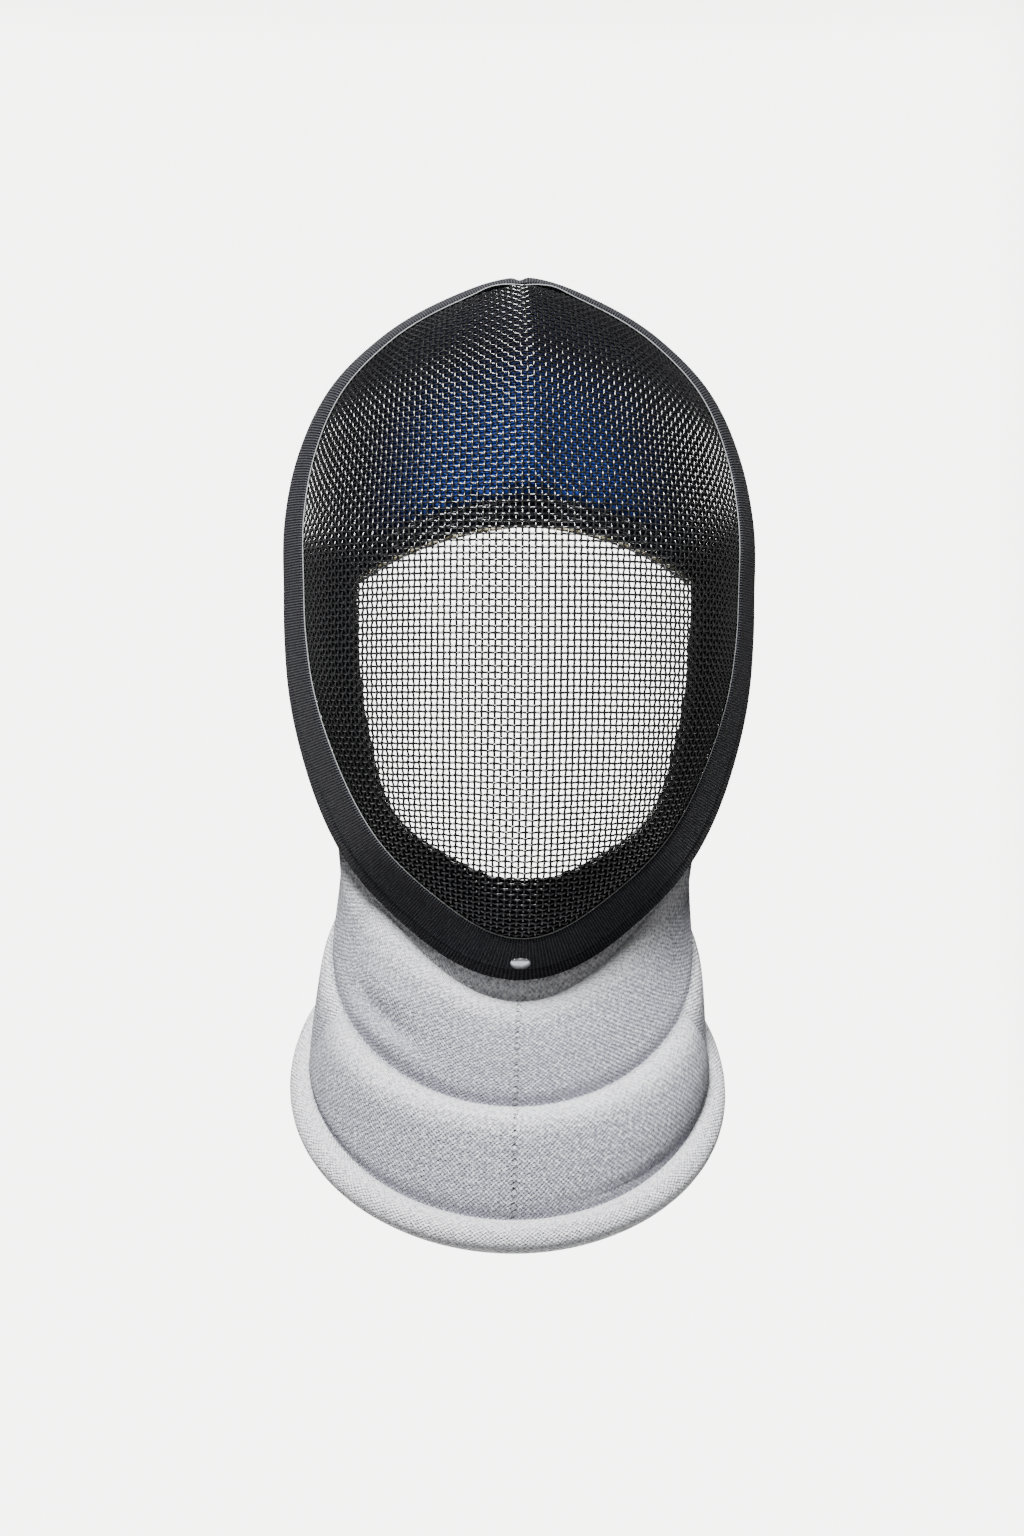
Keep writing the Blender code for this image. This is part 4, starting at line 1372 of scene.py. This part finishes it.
# Stage

def sweep_material():
    """Pale matt paper that glows white behind the object, and not below it."""
    material, tree, shader = start_material("pale_paper", (0.15, 0.15, 0.15), 0.9)
    place = object_place(tree)
    x, y, z = parts_of(tree, place)
    wide = ramp_between(tree, math_node(tree, "ABSOLUTE", x), *GLOW_WIDE)
    rise = added(tree, z, -CAMERA_AIM[2])
    tall = ramp_between(tree, math_node(tree, "ABSOLUTE", rise), *GLOW_TALL)
    behind = times(tree, inverse(tree, wide), inverse(tree, tall))
    glow = times(tree, ramp_between(tree, y, *GLOW_BACK), behind)
    strength = added(tree, times(tree, glow, WALL_GLOW), ROOM_GLOW)
    tree.links.new(strength, shader.inputs["Emission Strength"])
    shader.inputs["Emission Color"].default_value = (1.0, 0.995, 0.975, 1.0)
    add_bump(tree, shader, noise_over(tree, place, PAPER_CELLS, 3.0), 0.0005, 0.2)
    return material


def area_light(name, location, aim, size, power):
    """A soft rectangular light."""
    light = bpy.data.lights.new(name, "AREA")
    light.shape = "RECTANGLE"
    light.size, light.size_y = size
    light.energy = power
    obj = bpy.data.objects.new(name, light)
    obj.location = location
    direction = Vector(aim) - Vector(location)
    obj.rotation_euler = direction.to_track_quat("-Z", "Y").to_euler()
    bpy.context.scene.collection.objects.link(obj)


def make_stage():
    """A pale round floor that sweeps up into a pale wall, soft lights and the camera."""
    sides = 96
    flat = ROOM_RADIUS - ROOM_BEND
    profile = [(0.02, 0.0), (flat / 2, 0.0), (flat, 0.0)]
    profile += [(flat + ROOM_BEND * math.sin(turn), ROOM_BEND * (1 - math.cos(turn)))
                for turn in np.linspace(0, math.pi / 2, 12)[1:]]
    profile += [(ROOM_RADIUS, ROOM_HEIGHT)]
    vertices = [(radius * math.cos(turn), radius * math.sin(turn), FLOOR_LEVEL + rise)
                for radius, rise in profile for turn in 2 * math.pi * np.arange(sides) / sides]
    faces = grid_faces(len(profile), sides, closed_columns=True)
    faces.append(tuple(range(sides))[::-1])
    floor = new_object("pale_room", vertices, faces, sweep_material())

    for light in LIGHT_TABLE:
        area_light(*light)

    world = bpy.data.worlds.new("soft_world")
    bpy.context.scene.world = world
    world.use_nodes = True
    world.node_tree.nodes["Background"].inputs["Color"].default_value = (1, 1, 1, 1)
    world.node_tree.nodes["Background"].inputs["Strength"].default_value = ROOM_GLOW

    camera = bpy.data.cameras.new("camera")
    camera.sensor_width = SENSOR
    camera.lens = SENSOR * CAMERA_DISTANCE / FRAME_HEIGHT
    obj = bpy.data.objects.new("camera", camera)
    turn = math.radians(CAMERA_TURN)
    lift = math.radians(CAMERA_LIFT)
    aim = Vector(CAMERA_AIM)
    back = Vector((math.sin(turn) * math.cos(lift), -math.cos(turn) * math.cos(lift), math.sin(lift)))
    obj.location = aim + back * CAMERA_DISTANCE
    look = (-back).to_track_quat("-Z", "Y")
    own_axis = Vector((0, 0, 1))
    obj.rotation_mode = "QUATERNION"
    obj.rotation_quaternion = look @ Quaternion(own_axis, math.radians(CAMERA_ROLL))
    bpy.context.scene.collection.objects.link(obj)
    bpy.context.scene.camera = obj


def main():
    """Dress the frame."""
    make_stage()
    steel = steel_material()
    webbing = webbing_material()
    blue = liner_material("blue_liner_cloth", (0.003, 0.012, 0.075), (0.008, 0.034, 0.22), BLUE_PAINTED_SHADE)
    black = liner_material("black_liner_cloth", (0.0012, 0.0015, 0.004), (0.004, 0.005, 0.012))
    woven_mesh(steel)
    smooth_trim(webbing)
    trim_lines(thread_material("piping_thread", (0.26, 0.27, 0.27)))
    chin_stud(rivet_material())
    soft_head_pad(blue)
    soft_binding(black)
    brow_threads(thread_material("straw_cord", (0.42, 0.38, 0.22)),
                 thread_material("grey_stitching", (0.22, 0.23, 0.25)))
    soft_rim_pad("right_cheek_pad", "side_pad_right", -SIDE_START, -SIDE_END, SIDE_PAD, black)
    soft_rim_pad("left_cheek_pad", "side_pad_left", 180 + SIDE_START, 180 + SIDE_END, SIDE_PAD, black)
    soft_rim_pad("dark_chin_pad", "chin_pad", CHIN_LAP - SIDE_END, SIDE_END - CHIN_LAP - 180.0,
                 CHIN_PAD, black)
    soft_tongue(black)
    soft_bib(bib_material("bib_cloth"), bib_material("bib_channel_cloth", channels=True))


main()
